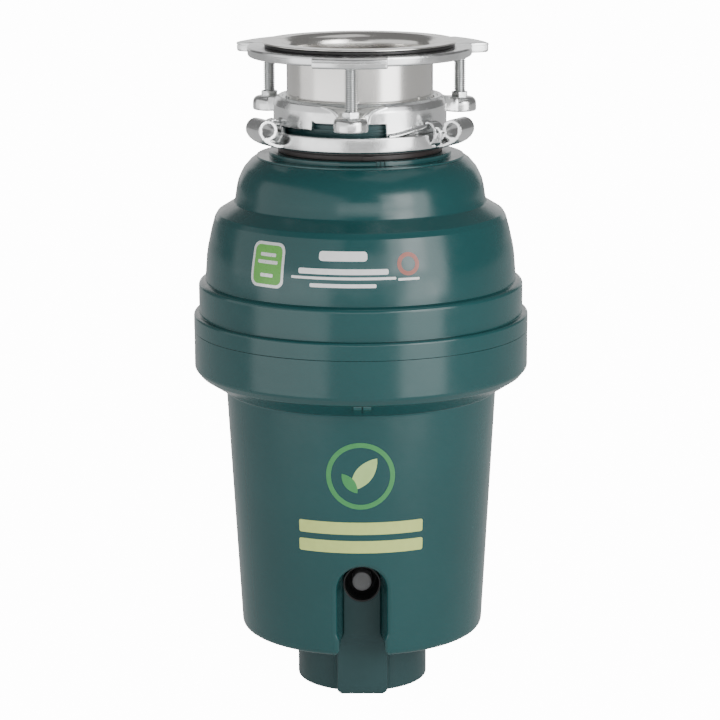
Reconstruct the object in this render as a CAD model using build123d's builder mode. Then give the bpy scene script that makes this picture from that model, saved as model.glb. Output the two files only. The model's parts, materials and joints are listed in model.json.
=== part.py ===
from build123d import *
import os
from math import cos, radians, sin

# Kitchen garbage disposal with a three-screw sink mount.
# Millimetres. +Z is up, the front (reset button side) faces -Y, and the origin
# is the centre of the bottom rim. Outlines are lists of (radius, height).

# ---- driving dimensions -------------------------------------------------
FIT = 0.03              # radial clearance of a piece seated on or in another

# lower shell and base
NECK_R = 39.5
NECK_WALL = 2.6
NECK_TOP = 37.0
PANEL_LOW_Y = -46.0
PANEL_HIGH_Y = -50.0
PANEL_LOW_W = 30.5
PANEL_HIGH_W = 22.8
SHELL_FLOOR = 33.4
SHELL_WALL = 2.8
LOWER_R_BOTTOM = 74.6
LOWER_R_TOP = 82.3
CONE_FOOT = 180.2
SEAM = 221.6
COLLAR_R = 101.5
SLOT_HALF_W = 14.75
SLOT_TOP = 91.0
BUTTON_Z = 73.0
BUTTON_BORE_R = 11.2
BUTTON_R = 5.9
BUTTON_FACE_Y = -44.6

# grinding and drain chambers
CHAMBER_R = 74.0
CHAMBER_WALL = 3.5
DRAIN_FLOOR = 226.0
JOINT_Z = 266.0
FLANGE_R = 88.5
HOUSING_SCREW_R = 83.0
OUTLET_Z = 243.5
OUTLET_BORE_R = 16.0
OUTLET_TUBE_R = 19.5
OUTLET_FACE_Y = 100.0
OUTLET_BOLT_X = 27.0
DISHWASHER_Z = 308.0
DISHWASHER_R = 11.0
DISHWASHER_BORE_R = 8.6
DISHWASHER_ROOT_R = 11.8
DISHWASHER_ROOT_Y = 80.0
DISHWASHER_END_Y = 97.0
HOUSING_SCREWS = 6

# motor
SHAFT_R = 6.0
CAN_R = 55.0
CAN_BOTTOM = 110.0
CAN_TOP = 214.0
SLOTS = 12

# turntable and impellers
TURNTABLE_R = 69.2
TURNTABLE_Z = 263.0
TURNTABLE_T = 3.5
IMPELLER_PIN_R = 4.0
IMPELLER_AT = 42.0

# sink mount
SLEEVE_R = 43.9
SLEEVE_WALL = 0.9
SLEEVE_BOTTOM = 354.0
RIM_R = 57.15
RIM_TOP = 395.0
HOPPER_NECK_R = 46.5
SKIRT_R = 52.0
SKIRT_WALL = 3.4
SKIRT_TOP = 362.6
LOCK_R = 57.0
LOCK_BOTTOM = 335.5
LOCK_TOP = 343.4
TUBE_AT = 67.0
TUBE_Z = 346.0
TUBE_R = 6.0
TUBE_BORE_R = 4.2
TUBE_LENGTH = 17.0
TUBE_ANGLES = (-30.0, 210.0, 90.0)
STUD_AT = 67.3
STUD_R = 3.175
STUD_ANGLES = (-94.5, 25.5, 145.5)
STUD_BOTTOM = 348.0
LOBE_R = 10.0
LOBE_BOTTOM = 348.8
LOBE_TOP = 357.4
NUT_HEIGHT = 3.0
BACKUP_BOTTOM = 386.0
BACKUP_TOP = 391.6
BACKUP_BORE_R = 47.5
BACKUP_R = 67.4
EAR_R = 78.5
EAR_HALF_W = 22.6


# ---- helpers --------------------------------------------------------------
def turned(*outline):
    """Solid of revolution about Z from a closed (radius, height) outline."""
    with BuildPart() as piece:
        with BuildSketch(Plane.XZ):
            with BuildLine():
                Polyline(*outline, close=True)
            make_face()
        revolve(axis=Axis.Z)
    return piece.part


def tube(inner, outer, low, high):
    return turned((inner, low), (outer, low), (outer, high), (inner, high))


def block(low, high):
    """Box between two opposite corners."""
    size = [b - a for a, b in zip(low, high)]
    centre = [(a + b) / 2 for a, b in zip(low, high)]
    return Pos(*centre) * Box(*size, mode=Mode.PRIVATE)


def rod(radius, start, end):
    """Cylinder between two points."""
    axis = Vector(*end) - Vector(*start)
    plane = Plane(origin=start, z_dir=axis)
    low_end = (Align.CENTER, Align.CENTER, Align.MIN)
    return plane * Cylinder(radius, axis.length, align=low_end, mode=Mode.PRIVATE)


def at_angle(radius, angle, height=0.0):
    return radius * cos(radians(angle)), radius * sin(radians(angle)), height


def sector(inner, outer, low, high, middle, spread):
    """Part of a ring: spread degrees of arc centred on the middle angle."""
    with BuildPart() as piece:
        with BuildSketch(Plane.XZ.rotated((0, 0, middle - spread / 2))):
            with BuildLine():
                Polyline((inner, low), (outer, low), (outer, high), (inner, high), close=True)
            make_face()
        revolve(axis=Axis.Z, revolution_arc=spread)
    return piece.part


def save(piece, name):
    piece.part.label = name
    export_step(piece.part, f"parts/{name}.step")


# ---- lower shell, base and reset button -----------------------------------
def arch(half_width, top, bottom):
    """Face outline of the slot: straight sides under a half-round top."""
    with BuildSketch(Plane.XZ) as outline:
        with BuildLine():
            Polyline((-half_width, top - half_width), (-half_width, bottom),
                     (half_width, bottom), (half_width, top - half_width))
            ThreePointArc((half_width, top - half_width), (0, top), (-half_width, top - half_width))
        make_face()
    return outline.sketch


def arch_tunnel(extra):
    """Drafted slot that narrows from the shell's face to the button panel."""
    inner_y = PANEL_HIGH_Y - 0.8
    outer_y = -88.0
    half_inner = PANEL_HIGH_W / 2 + 0.4
    draft_length = 24.8
    draft = (SLOT_HALF_W - half_inner) / draft_length
    half_outer = half_inner + draft * (inner_y - outer_y)
    near = Pos(0, inner_y, 0) * arch(half_inner + extra, SLOT_TOP - 5.0 + extra, SHELL_FLOOR - 1)
    far = Pos(0, outer_y, 0) * arch(half_outer + extra, SLOT_TOP + 1.2 + extra, SHELL_FLOOR - 1)
    return loft([near.face(), far.face()], mode=Mode.PRIVATE)


def lower_shell():
    outline = [(42.0, SHELL_FLOOR), (69.0, SHELL_FLOOR), (73.0, 35.0), (74.3, 38.5),
               (LOWER_R_TOP, CONE_FOOT), (98.0, 191.6), (100.6, 194.6), (COLLAR_R, 198.0),
               (COLLAR_R, SEAM)]
    lip = [(98.5, SEAM), (98.5, 227.0), (96.5, 227.0), (96.5, 219.0), (98.3, 219.0)]
    inside = [(98.3, 199.0), (96.2, 194.4), (80.0, 183.6), (LOWER_R_TOP - SHELL_WALL, CONE_FOOT),
              (71.5, 39.0), (69.0, SHELL_FLOOR + 3.0), (42.0, SHELL_FLOOR + 3.0)]
    envelope = turned((0, SHELL_FLOOR), (69.0, SHELL_FLOOR), (73.0, 35.0), (74.3, 38.5),
                      (LOWER_R_TOP, CONE_FOOT), (0, CONE_FOOT))
    with BuildPart() as shell:
        add(turned(*outline, *lip, *inside))
        add(arch_tunnel(2.0) & envelope)
        add(arch_tunnel(0.0), mode=Mode.SUBTRACT)
        half = PANEL_LOW_W / 2 + 0.6
        add(block((-half, PANEL_HIGH_Y - 1, 30), (half, -38.0, SHELL_FLOOR + 3.5)), mode=Mode.SUBTRACT)
        add(block((-38, 85, SEAM), (38, 110, SEAM + 8)), mode=Mode.SUBTRACT)
    save(shell, "lower_shell")


def base_cover():
    bore_back = -30.0
    with BuildPart() as cover:
        add(turned((NECK_R - NECK_WALL, 0), (NECK_R - 2.2, 0), (NECK_R - 0.6, 0.7), (NECK_R, 2.4),
                   (NECK_R, NECK_TOP), (64.0, NECK_TOP), (64.0, 39.5), (NECK_R - NECK_WALL, 39.5)))
        add(tube(33.0, NECK_R - NECK_WALL + 0.5, 5.7, 8.2))
        add(block((-16.5, -66, 35), (16.5, PANEL_HIGH_Y - 0.4, 41)), mode=Mode.SUBTRACT)
        half = PANEL_LOW_W / 2
        add(block((-half, PANEL_LOW_Y, 0), (half, -37.5, 36.0)))
        chamfer(cover.faces().sort_by(Axis.Y)[0].edges().filter_by(Axis.Z), 1.2)
        half = PANEL_HIGH_W / 2
        add(block((-half, PANEL_HIGH_Y, 36.0), (half, -44.0, BUTTON_Z)))
        add(rod(half, (0, PANEL_HIGH_Y, BUTTON_Z), (0, bore_back, BUTTON_Z)))
        add(rod(BUTTON_BORE_R, (0, PANEL_HIGH_Y - 1, BUTTON_Z), (0, bore_back + 1, BUTTON_Z)),
            mode=Mode.SUBTRACT)
        for angle in (90, 210, 330):
            with Locations(at_angle(52.0, angle, 39.0)):
                Cylinder(4.0, 58.7, align=(Align.CENTER, Align.CENTER, Align.MIN))
        for x, y in ((-40, 12), (40, 12), (-30, 36), (30, 36)):
            with Locations((x, y, 39.0)):
                Cylinder(3.0, 6.7, align=(Align.CENTER, Align.CENTER, Align.MIN))
        for angle in (30, 150, 270):
            with Locations(at_angle(35.0, angle, 5.0)):
                Cylinder(1.45, 3.0, align=(Align.CENTER, Align.CENTER, Align.MIN), mode=Mode.SUBTRACT)
    save(cover, "base_cover")


def base_plate():
    with BuildPart() as plate:
        add(tube(0, 36.6, 3.0, 5.5))
        with Locations((0, 12, 3.0)):
            Cylinder(11.2, 6, mode=Mode.SUBTRACT)
        for angle in (30, 150, 270):
            with Locations(at_angle(35.0, angle, 3.0)):
                Cylinder(1.5, 6, mode=Mode.SUBTRACT)
    save(plate, "base_plate")


def cover_screws():
    with BuildPart() as screws:
        for angle in (30, 150, 270):
            with Locations(at_angle(35.0, angle, 1.2)):
                Cylinder(1.9, 1.7, align=(Align.CENTER, Align.CENTER, Align.MIN))
                Cylinder(1.4, 6.5, align=(Align.CENTER, Align.CENTER, Align.MIN))
    save(screws, "cover_screws")


def cable_gland():
    with BuildPart() as gland:
        add(Pos(0, 12, 0) * turned((4.5, 0.8), (13.5, 0.8), (13.5, 2.9), (11.0, 2.9), (11.0, 18.0),
                                   (4.5, 18.0)))
    save(gland, "cable_gland")


def ground_screw():
    with BuildPart() as screw:
        with Locations((46.0, -16.0, 39.6)):
            Cylinder(4.0, 2.6, align=(Align.CENTER, Align.CENTER, Align.MIN))
            Cylinder(2.2, 6.0, align=(Align.CENTER, Align.CENTER, Align.MIN))
    save(screw, "ground_screw")


def button_bushing():
    profile = [(BUTTON_BORE_R - FIT, 0.4), (9.8, 0.4), (8.2, 6.0), (BUTTON_R + 0.15, 13.0),
               (BUTTON_R + 0.15, 17.0), (BUTTON_BORE_R - FIT, 17.0)]
    with BuildPart() as bushing:
        add(Plane((0, PANEL_HIGH_Y, BUTTON_Z), z_dir=(0, 1, 0)) * turned(*profile))
    save(bushing, "button_bushing")


def reset_button():
    with BuildPart() as button:
        add(rod(BUTTON_R, (0, BUTTON_FACE_Y, BUTTON_Z), (0, -32.6, BUTTON_Z)))
        fillet(button.edges().sort_by(Axis.Y)[0], 0.7)
        add(rod(8.0, (0, -32.6, BUTTON_Z), (0, -31.0, BUTTON_Z)))
        add(rod(3.0, (0, -31.0, BUTTON_Z), (0, -25.0, BUTTON_Z)))
    save(button, "reset_button")


def button_spring():
    with BuildPart() as spring:
        add(Plane((0, -30.9, BUTTON_Z), z_dir=(0, 1, 0)) * tube(3.1, 4.6, 0, 5.0))
    save(spring, "button_spring")


def overload_protector():
    with BuildPart() as protector:
        add(block((-13, -20.5, 60), (13, -4, 86)))
        fillet(protector.edges().filter_by(Axis.Y), 2.0)
    save(protector, "overload_protector")


def rectifier_board():
    with BuildPart() as board:
        add(block((-44, 8, 45.8), (44, 40, 47.4)))
    save(board, "rectifier_board")


def bridge_rectifier():
    with BuildPart() as rectifier:
        add(block((-14, 12, 47.5), (14, 36, 56)))
        fillet(rectifier.edges().filter_by(Axis.Z), 2.0)
        add(rod(3.0, (0, 24, 50), (0, 24, 60)), mode=Mode.SUBTRACT)
    save(rectifier, "bridge_rectifier")


# ---- motor -------------------------------------------------------------------
def lower_end_bell():
    with BuildPart() as bell:
        add(turned((14.0, 99.0), (14.0, 107.2), (20.0, 107.2), (20.0, 102.0), (51.0, 102.0), (51.0, 109.8),
                   (CAN_R, 109.8), (CAN_R, 98.0), (20.0, 98.0), (18.0, 94.0), (7.0, 94.0), (7.0, 99.0)))
        for angle in (45, 135, 225, 315):
            with Locations(at_angle(58.5, angle, 98.0)):
                Cylinder(6.0, 10.0, align=(Align.CENTER, Align.CENTER, Align.MIN))
                Cylinder(2.6, 30.0, mode=Mode.SUBTRACT)
    save(bell, "lower_end_bell")


def bearing(name, outer, low, high):
    """Ball bearing: two races and a cage drawn as one grooved ring."""
    middle = (SHAFT_R + outer) / 2
    with BuildPart() as piece:
        add(turned((SHAFT_R + 0.04, low), (middle - 2, low), (middle - 2, low + 0.6),
                   (middle + 2, low + 0.6), (middle + 2, low), (outer - FIT, low),
                   (outer - FIT, high), (middle + 2, high),
                   (middle + 2, high - 0.6), (middle - 2, high - 0.6), (middle - 2, high),
                   (SHAFT_R + 0.04, high)))
    save(piece, name)


def motor_can():
    with BuildPart() as can:
        add(tube(CAN_R - 2.5, CAN_R, CAN_BOTTOM, CAN_TOP))
    save(can, "motor_can")


def field_magnets():
    with BuildPart() as magnets:
        for middle in (0, 180):
            add(sector(45.4, CAN_R - 2.6, 136.0, 202.0, middle, 126))
    save(magnets, "field_magnets")


def through_bolts():
    with BuildPart() as bolts:
        for angle in (45, 135, 225, 315):
            with Locations(at_angle(58.5, angle, 94.0)):
                Cylinder(4.5, 3.9, align=(Align.CENTER, Align.CENTER, Align.MIN))
                Cylinder(2.5, 126.0, align=(Align.CENTER, Align.CENTER, Align.MIN))
    save(bolts, "through_bolts")


def shaft():
    with BuildPart() as spindle:
        add(turned((0, 96.0), (SHAFT_R - 0.8, 96.0), (SHAFT_R, 96.8), (SHAFT_R, 270.0), (5.0, 270.0),
                   (5.0, 279.0), (4.4, 279.6), (0, 279.6)))
    save(spindle, "shaft")


def armature_core():
    with BuildPart() as core:
        add(tube(SHAFT_R + FIT, 44.5, 140.0, 196.0))
        with PolarLocations(0, SLOTS):
            with Locations((34.5, 0, 168.0)):
                Box(20.0, 5.4, 60.0, mode=Mode.SUBTRACT)
            with Locations((44.5, 0, 168.0)):
                Box(4.0, 3.0, 60.0, mode=Mode.SUBTRACT)
    save(core, "armature_core")


def armature_windings():
    with BuildPart() as windings:
        add(turned((14, 139.7), (18, 131.0), (38, 131.0), (42.5, 139.7)))
        add(turned((14, 196.3), (42.5, 196.3), (38, 206.0), (18, 206.0)))
        with PolarLocations(0, SLOTS):
            with Locations((34.5, 0, 168.0)):
                Box(18.6, 4.6, 58.0)
    save(windings, "armature_windings")


def commutator():
    with BuildPart() as ring:
        add(turned((SHAFT_R + FIT, 112.0), (15.5, 112.0), (15.5, 126.0), (17.5, 126.0), (17.5, 130.5),
                   (SHAFT_R + FIT, 130.5)))
        with PolarLocations(15.5, 2 * SLOTS):
            Box(2.0, 0.7, 252.0, mode=Mode.SUBTRACT)
    save(ring, "commutator")


def brush_gear():
    with BuildPart() as plate:
        add(tube(20.5, CAN_R - 2.6, 110.2, 112.6))
    save(plate, "brush_plate")
    with BuildPart() as holders:
        for side in (-1, 1):
            with Locations((side * 33.0, 0, 119.0)):
                Box(27.0, 8.4, 12.4)
                Box(27.0, 6.4, 10.4, mode=Mode.SUBTRACT)
            with Locations((side * 47.2, 0, 119.0)):
                Box(1.4, 8.4, 12.4)
    save(holders, "brush_holders")
    with BuildPart() as brushes:
        for side in (-1, 1):
            with Locations((side * 23.4, 0, 119.0)):
                Box(15.0, 6.0, 10.0)
    save(brushes, "carbon_brushes")
    with BuildPart() as springs:
        for side in (-1, 1):
            add(rod(2.6, (side * 31.1, 0, 119.0), (side * 46.3, 0, 119.0)))
    save(springs, "brush_springs")


# ---- drain housing, grinding parts and hopper ---------------------------------
def drain_housing():
    wall_r = CHAMBER_R + CHAMBER_WALL
    with BuildPart() as housing:
        add(turned((16.0, 214.3), (21.0, 214.3), (21.0, 221.8), (CAN_R, 221.8), (CAN_R, 214.3),
                   (64.0, 214.3), (64.0, 221.8), (wall_r, 221.8), (wall_r, 262.0), (FLANGE_R, 262.0),
                   (FLANGE_R, JOINT_Z), (0, JOINT_Z), (0, 226.0), (16.0, 226.0)))
        add(rod(OUTLET_TUBE_R, (0, CHAMBER_R - 6, OUTLET_Z), (0, OUTLET_FACE_Y, OUTLET_Z)))
        add(block((-35, OUTLET_FACE_Y - 4, OUTLET_Z - 18.5), (35, OUTLET_FACE_Y, OUTLET_Z + 18.5)))
        plate_corners = [e for e in housing.edges().filter_by(Axis.Y)
                         if abs(abs(e.center().X) - 35) < 0.1]
        fillet(plate_corners, 9.0)
        add(turned((21.0, DRAIN_FLOOR), (CHAMBER_R, DRAIN_FLOOR), (CHAMBER_R, JOINT_Z + 1),
                   (0, JOINT_Z + 1), (0, 250.0), (21.0, 250.0)), mode=Mode.SUBTRACT)
        add(turned((0, 228.0), (0, 226.5), (9.0, 228.0), (9.0, 241.0), (13.0, 241.0), (13.0, 251.0),
                   (0, 251.0)), mode=Mode.SUBTRACT)
        add(tube(0, 9.0, 225.0, 230.0), mode=Mode.SUBTRACT)
        add(rod(OUTLET_BORE_R, (0, CHAMBER_R - 12, OUTLET_Z), (0, OUTLET_FACE_Y + 1, OUTLET_Z)),
            mode=Mode.SUBTRACT)
        add(rod(19.0, (0, OUTLET_FACE_Y - 2, OUTLET_Z), (0, OUTLET_FACE_Y + 1, OUTLET_Z)),
            mode=Mode.SUBTRACT)
        for x in (-OUTLET_BOLT_X, OUTLET_BOLT_X):
            add(rod(2.6, (x, OUTLET_FACE_Y - 6, OUTLET_Z), (x, OUTLET_FACE_Y + 1, OUTLET_Z)),
                mode=Mode.SUBTRACT)
        for index in range(HOUSING_SCREWS):
            with Locations(at_angle(HOUSING_SCREW_R, index * 360 / HOUSING_SCREWS, 264.0)):
                Cylinder(2.4, 6.0, mode=Mode.SUBTRACT)
        for angle in (45, 135, 225, 315):
            with Locations(at_angle(58.5, angle, 214.0)):
                Cylinder(2.6, 13.0, mode=Mode.SUBTRACT)
    save(housing, "drain_housing")


def discharge_gasket():
    with BuildPart() as gasket:
        add(Plane((0, OUTLET_FACE_Y - 1.95, OUTLET_Z), z_dir=(0, 1, 0)) * tube(16.3, 18.9, 0, 1.9))
    save(gasket, "discharge_gasket")


def shaft_seal():
    with BuildPart() as seal:
        add(turned((13.0 - FIT, 241.1), (13.0 - FIT, 249.0), (10.5, 249.0), (10.5, 243.0), (8.0, 243.6),
                   (8.0, 247.0), (SHAFT_R + 0.05, 247.0), (SHAFT_R + 0.05, 245.0), (7.0, 241.1)))
    save(seal, "shaft_seal")


def slinger():
    with BuildPart() as disc:
        add(turned((SHAFT_R + FIT, 250.6), (12.0, 250.6), (12.0, 251.6), (9.0, 252.4),
                   (SHAFT_R + FIT, 252.4)))
    save(disc, "slinger")


def turntable():
    top = TURNTABLE_Z + TURNTABLE_T
    with BuildPart() as table:
        add(turned((SHAFT_R + FIT, 252.6), (13.0, 252.6), (15.0, 258.0), (22.6, TURNTABLE_Z - 1),
                   (22.6, 251.5), (25.2, 251.5), (25.2, TURNTABLE_Z), (TURNTABLE_R, TURNTABLE_Z),
                   (TURNTABLE_R, top), (13.0, top), (12.0, 268.0), (SHAFT_R + FIT, 268.0)))
        with PolarLocations(62.0, 16):
            with Locations((0, 0, TURNTABLE_Z)):
                Cylinder(3.2, 12.0, mode=Mode.SUBTRACT)
        for side in (-1, 1):
            with Locations((side * IMPELLER_AT, 0, TURNTABLE_Z)):
                Cylinder(IMPELLER_PIN_R + FIT, 12.0, mode=Mode.SUBTRACT)
    save(table, "turntable")


def turntable_nut():
    with BuildPart() as nut:
        with BuildSketch(Plane.XY.offset(268.3)):
            RegularPolygon(8.6, 6)
            Circle(SHAFT_R + FIT, mode=Mode.SUBTRACT)
        extrude(amount=1.9)
        with BuildSketch(Plane.XY.offset(270.2)):
            RegularPolygon(8.6, 6)
            Circle(5.0 + FIT, mode=Mode.SUBTRACT)
        extrude(amount=7.0)
    save(nut, "turntable_nut")


def impeller_pins():
    top = TURNTABLE_Z + TURNTABLE_T
    with BuildPart() as pins:
        for side in (-1, 1):
            add(Pos(side * IMPELLER_AT, 0, 0) * turned(
                (0, TURNTABLE_Z - 2.5), (6.0, TURNTABLE_Z - 2.5), (6.0, TURNTABLE_Z - 0.1),
                (IMPELLER_PIN_R, TURNTABLE_Z - 0.1), (IMPELLER_PIN_R, top + 12.6),
                (6.4, top + 12.6), (5.4, top + 14.6), (0, top + 14.6)))
    save(pins, "impeller_pins")


def impeller(name, side):
    low = TURNTABLE_Z + TURNTABLE_T + 0.3
    with BuildPart() as lug:
        with BuildSketch(Plane.XY.offset(low)):
            with BuildLine():
                Polyline((0, -7.5), (side * 20.0, -5.5), (side * 24.0, 0.0), (side * 20.0, 6.5),
                         (0, 7.5), (side * -6.5, 5.0), (side * -8.5, 0.0), (side * -6.5, -5.0), close=True)
            make_face()
        extrude(amount=12.0)
        fillet(lug.edges().filter_by(Axis.Z), 1.5)
        add(tube(0, IMPELLER_PIN_R + 0.06, low - 1, low + 13), mode=Mode.SUBTRACT)
    lug.part.position = (side * IMPELLER_AT, 0, 0)
    save(lug, name)


def grind_ring():
    low = JOINT_Z + 1.3
    with BuildPart() as ring:
        add(tube(TURNTABLE_R + 0.8, CHAMBER_R - 0.1, low - 4.0, low + 16.4))
        with PolarLocations(TURNTABLE_R + 1.4, 36):
            with Locations((0, 0, low + 10.0)):
                Box(3.2, 4.6, 20.0, mode=Mode.SUBTRACT)
    save(ring, "grind_ring")


def chamber_gasket():
    with BuildPart() as gasket:
        add(tube(CHAMBER_R + 0.2, FLANGE_R - 0.5, JOINT_Z + 0.1, JOINT_Z + 1.2))
        for index in range(HOUSING_SCREWS):
            with Locations(at_angle(HOUSING_SCREW_R, index * 360 / HOUSING_SCREWS, JOINT_Z)):
                Cylinder(2.4, 6.0, mode=Mode.SUBTRACT)
    save(gasket, "chamber_gasket")


def housing_screws():
    with BuildPart() as screws:
        for index in range(HOUSING_SCREWS):
            with Locations(at_angle(HOUSING_SCREW_R, index * 360 / HOUSING_SCREWS, 258.4)):
                Cylinder(3.8, 3.5, align=(Align.CENTER, Align.CENTER, Align.MIN))
                Cylinder(2.2, 11.8, align=(Align.CENTER, Align.CENTER, Align.MIN))
    save(screws, "housing_screws")


def hopper():
    low = JOINT_Z + 1.3
    neck = HOPPER_NECK_R
    with BuildPart() as body:
        add(turned((0, low), (FLANGE_R, low), (FLANGE_R, low + 4), (CHAMBER_R + CHAMBER_WALL, low + 4),
                   (CHAMBER_R + CHAMBER_WALL, 285.0), (71.5, 294.5), (69.5, 305.0), (66.0, 313.0),
                   (59.0, 319.0), (neck, 321.8), (neck, 338.3), (neck + 1.7, 338.3), (neck + 1.7, 340.7),
                   (neck, 340.7), (neck, 351.8), (0, 351.8)))
        inside_y = 55.0
        blank_y = 71.0
        add(rod(DISHWASHER_ROOT_R, (0, inside_y, DISHWASHER_Z), (0, DISHWASHER_ROOT_Y, DISHWASHER_Z)))
        add(rod(DISHWASHER_R, (0, inside_y, DISHWASHER_Z), (0, DISHWASHER_END_Y, DISHWASHER_Z)))
        add(turned((0, low - 1), (CHAMBER_R, low - 1), (CHAMBER_R, 284.0), (68.0, 293.5), (66.0, 304.0),
                   (62.5, 311.0), (56.0, 315.8), (41.0, 319.0), (41.0, 346.0), (43.2, 347.0),
                   (43.2, 352.5), (0, 352.5)), mode=Mode.SUBTRACT)
        add(rod(DISHWASHER_BORE_R, (0, blank_y, DISHWASHER_Z), (0, DISHWASHER_END_Y + 1, DISHWASHER_Z)),
            mode=Mode.SUBTRACT)
        for index in range(3):
            add(tube(neck - 0.5, neck + 0.9, 343.6 + 2.3 * index, 344.6 + 2.3 * index))
        for index in range(HOUSING_SCREWS):
            with Locations(at_angle(HOUSING_SCREW_R, index * 360 / HOUSING_SCREWS, low)):
                Cylinder(2.25, 6.4, mode=Mode.SUBTRACT)
    save(body, "hopper")


# ---- upper shell and insulation --------------------------------------------------
def upper_shell():
    with BuildPart() as shell:
        with BuildSketch(Plane.XZ):
            with BuildLine():
                Polyline((99.0, SEAM + 0.3), (101.6, SEAM + 0.3), (101.6, 229.0), (100.8, 231.2),
                         (98.3, 232.2), (98.3, 247.0), (97.2, 250.3), (94.2, 252.2))
                ThreePointArc((94.2, 252.2), (92.3, 271.8), (88.2, 289.4))
                Polyline((88.2, 289.4), (86.8, 292.4), (76.3, 299.2), (75.7, 301.0))
                Spline((75.7, 301.0), (73.7, 311.6), (70.1, 319.0), (64.0, 325.3))
                Polyline((64.0, 325.3), (62.5, 325.4), (62.5, 326.7), (54.7, 326.7), (54.7, 329.2),
                         (47.2, 329.2), (47.2, 322.6), (62.2, 322.6))
                Spline((62.2, 322.6), (67.8, 317.2), (71.0, 310.6), (72.9, 300.0))
                Polyline((72.9, 300.0), (73.6, 297.6), (84.4, 290.6), (85.4, 288.6))
                ThreePointArc((85.4, 288.6), (89.6, 271.0), (91.4, 250.2))
                Polyline((91.4, 250.2), (95.4, 248.4), (95.4, 234.0), (99.0, 229.0), (99.0, SEAM + 0.3))
            make_face()
        revolve(axis=Axis.Z)
        add(block((-37, 80, 223.4), (37, 110, 263.8)), mode=Mode.SUBTRACT)
        hole_r = DISHWASHER_ROOT_R + 0.4
        add(rod(hole_r, (0, 60, DISHWASHER_Z), (0, 110, DISHWASHER_Z)), mode=Mode.SUBTRACT)
    save(shell, "upper_shell")


def insulation():
    with BuildPart() as upper:
        add(turned((CHAMBER_R + CHAMBER_WALL + 0.4, 272.2), (88.8, 272.2), (85.8, 284.5),
                   (84.0, 288.2), (78.2, 291.8), (CHAMBER_R + CHAMBER_WALL + 0.4, 290.0)))
    save(upper, "upper_insulation")
    with BuildPart() as lower:
        add(turned((68.0, 104.0), (74.6, 104.0), (78.4, 176.0), (68.0, 176.0)))
    save(lower, "motor_insulation")


def neck_rings():
    with BuildPart() as washer:
        add(tube(HOPPER_NECK_R + 0.2, 49.4, 329.3, 332.2))
    save(washer, "slip_washer")
    with BuildPart() as cushion:
        add(turned((HOPPER_NECK_R + 0.2, 332.3), (50.4, 332.3), (51.0, 332.9), (51.0, 334.6),
                   (50.4, 335.2), (HOPPER_NECK_R + 0.2, 335.2)))
    save(cushion, "cushion_ring")


# ---- sink mount --------------------------------------------------------------------
def lock_ring():
    with BuildPart() as ring:
        add(turned((47.2, LOCK_BOTTOM), (56.4, LOCK_BOTTOM), (LOCK_R, 336.4), (LOCK_R, 342.6),
                   (56.2, LOCK_TOP), (54.0, LOCK_TOP), (54.0, 338.0), (47.2, 338.0)))
        for angle in TUBE_ANGLES:
            add(sector(52.3, 54.3, 341.5, LOCK_TOP, angle, 28))
            strut = block((55.5, -6.5, 336.6), (TUBE_AT, 6.5, 342.4))
            barrel = rod(TUBE_R, (TUBE_AT, -TUBE_LENGTH / 2, TUBE_Z), (TUBE_AT, TUBE_LENGTH / 2, TUBE_Z))
            add(Rot(0, 0, angle) * (strut + barrel))
        for angle in TUBE_ANGLES:
            bore = rod(TUBE_BORE_R, (TUBE_AT, -TUBE_LENGTH, TUBE_Z), (TUBE_AT, TUBE_LENGTH, TUBE_Z))
            add(Rot(0, 0, angle) * bore, mode=Mode.SUBTRACT)
    save(ring, "lock_ring")


def support_ring():
    inner = SKIRT_R - SKIRT_WALL
    with BuildPart() as ring:
        for angle in STUD_ANGLES:
            x, y, _ = at_angle(STUD_AT, angle)
            add(rod(LOBE_R, (x, y, LOBE_BOTTOM), (x, y, LOBE_TOP)))
            add(Rot(0, 0, angle) * block((46.0, -7.5, 350.5), (STUD_AT, 7.5, LOBE_TOP)))
        add(turned((inner, 339.2), (SKIRT_R, 339.2), (SKIRT_R, 357.5), (50.6, 361.2), (49.0, SKIRT_TOP),
                   (44.2, SKIRT_TOP), (44.2, 359.6), (inner, 359.6)))
        for angle in TUBE_ANGLES:
            add(sector(SKIRT_R - 0.3, 53.7, 339.2, 341.2, angle, 30))
        add(tube(0, inner, 338.0, 359.6), mode=Mode.SUBTRACT)
        add(sector(44.0, 53.0, 343.0, 350.6, -98.0, 50), mode=Mode.SUBTRACT)
        for angle in STUD_ANGLES:
            x, y, _ = at_angle(STUD_AT, angle)
            add(rod(STUD_R + 0.2, (x, y, 340), (x, y, 370)), mode=Mode.SUBTRACT)
    save(ring, "support_ring")


def mount_nuts():
    with BuildPart() as nuts:
        for angle in STUD_ANGLES:
            with BuildSketch(Plane(at_angle(STUD_AT, angle, LOBE_TOP + 0.05))):
                RegularPolygon(5.4, 6)
                Circle(STUD_R + 0.2, mode=Mode.SUBTRACT)
            extrude(amount=NUT_HEIGHT)
    save(nuts, "mount_nuts")


def mount_screw(name, angle):
    """Quarter inch screw: threaded barrel, slotted foot below the lobe, pointed tip in the ear."""
    pitch = 1.27
    depth = 0.45
    low = STUD_BOTTOM + 3.0
    count = int((386.0 - low) / pitch)
    crests = []
    for index in range(count):
        foot = low + index * pitch
        crests += [(STUD_R - depth, foot), (STUD_R, foot + pitch * 0.38), (STUD_R, foot + pitch * 0.62)]
    x, y, _ = at_angle(STUD_AT, angle)
    with BuildPart() as screw:
        add(turned((0, STUD_BOTTOM), (STUD_R - 0.6, STUD_BOTTOM), (STUD_R - depth, STUD_BOTTOM + 0.6),
                   *crests, (STUD_R - depth, low + count * pitch), (2.6, 388.4), (2.2, 388.9), (0, 388.9)))
        add(block((-4, -0.6, STUD_BOTTOM - 1), (4, 0.6, STUD_BOTTOM + 1.2)), mode=Mode.SUBTRACT)
    screw.part.position = (x, y, 0)
    save(screw, name)


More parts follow.
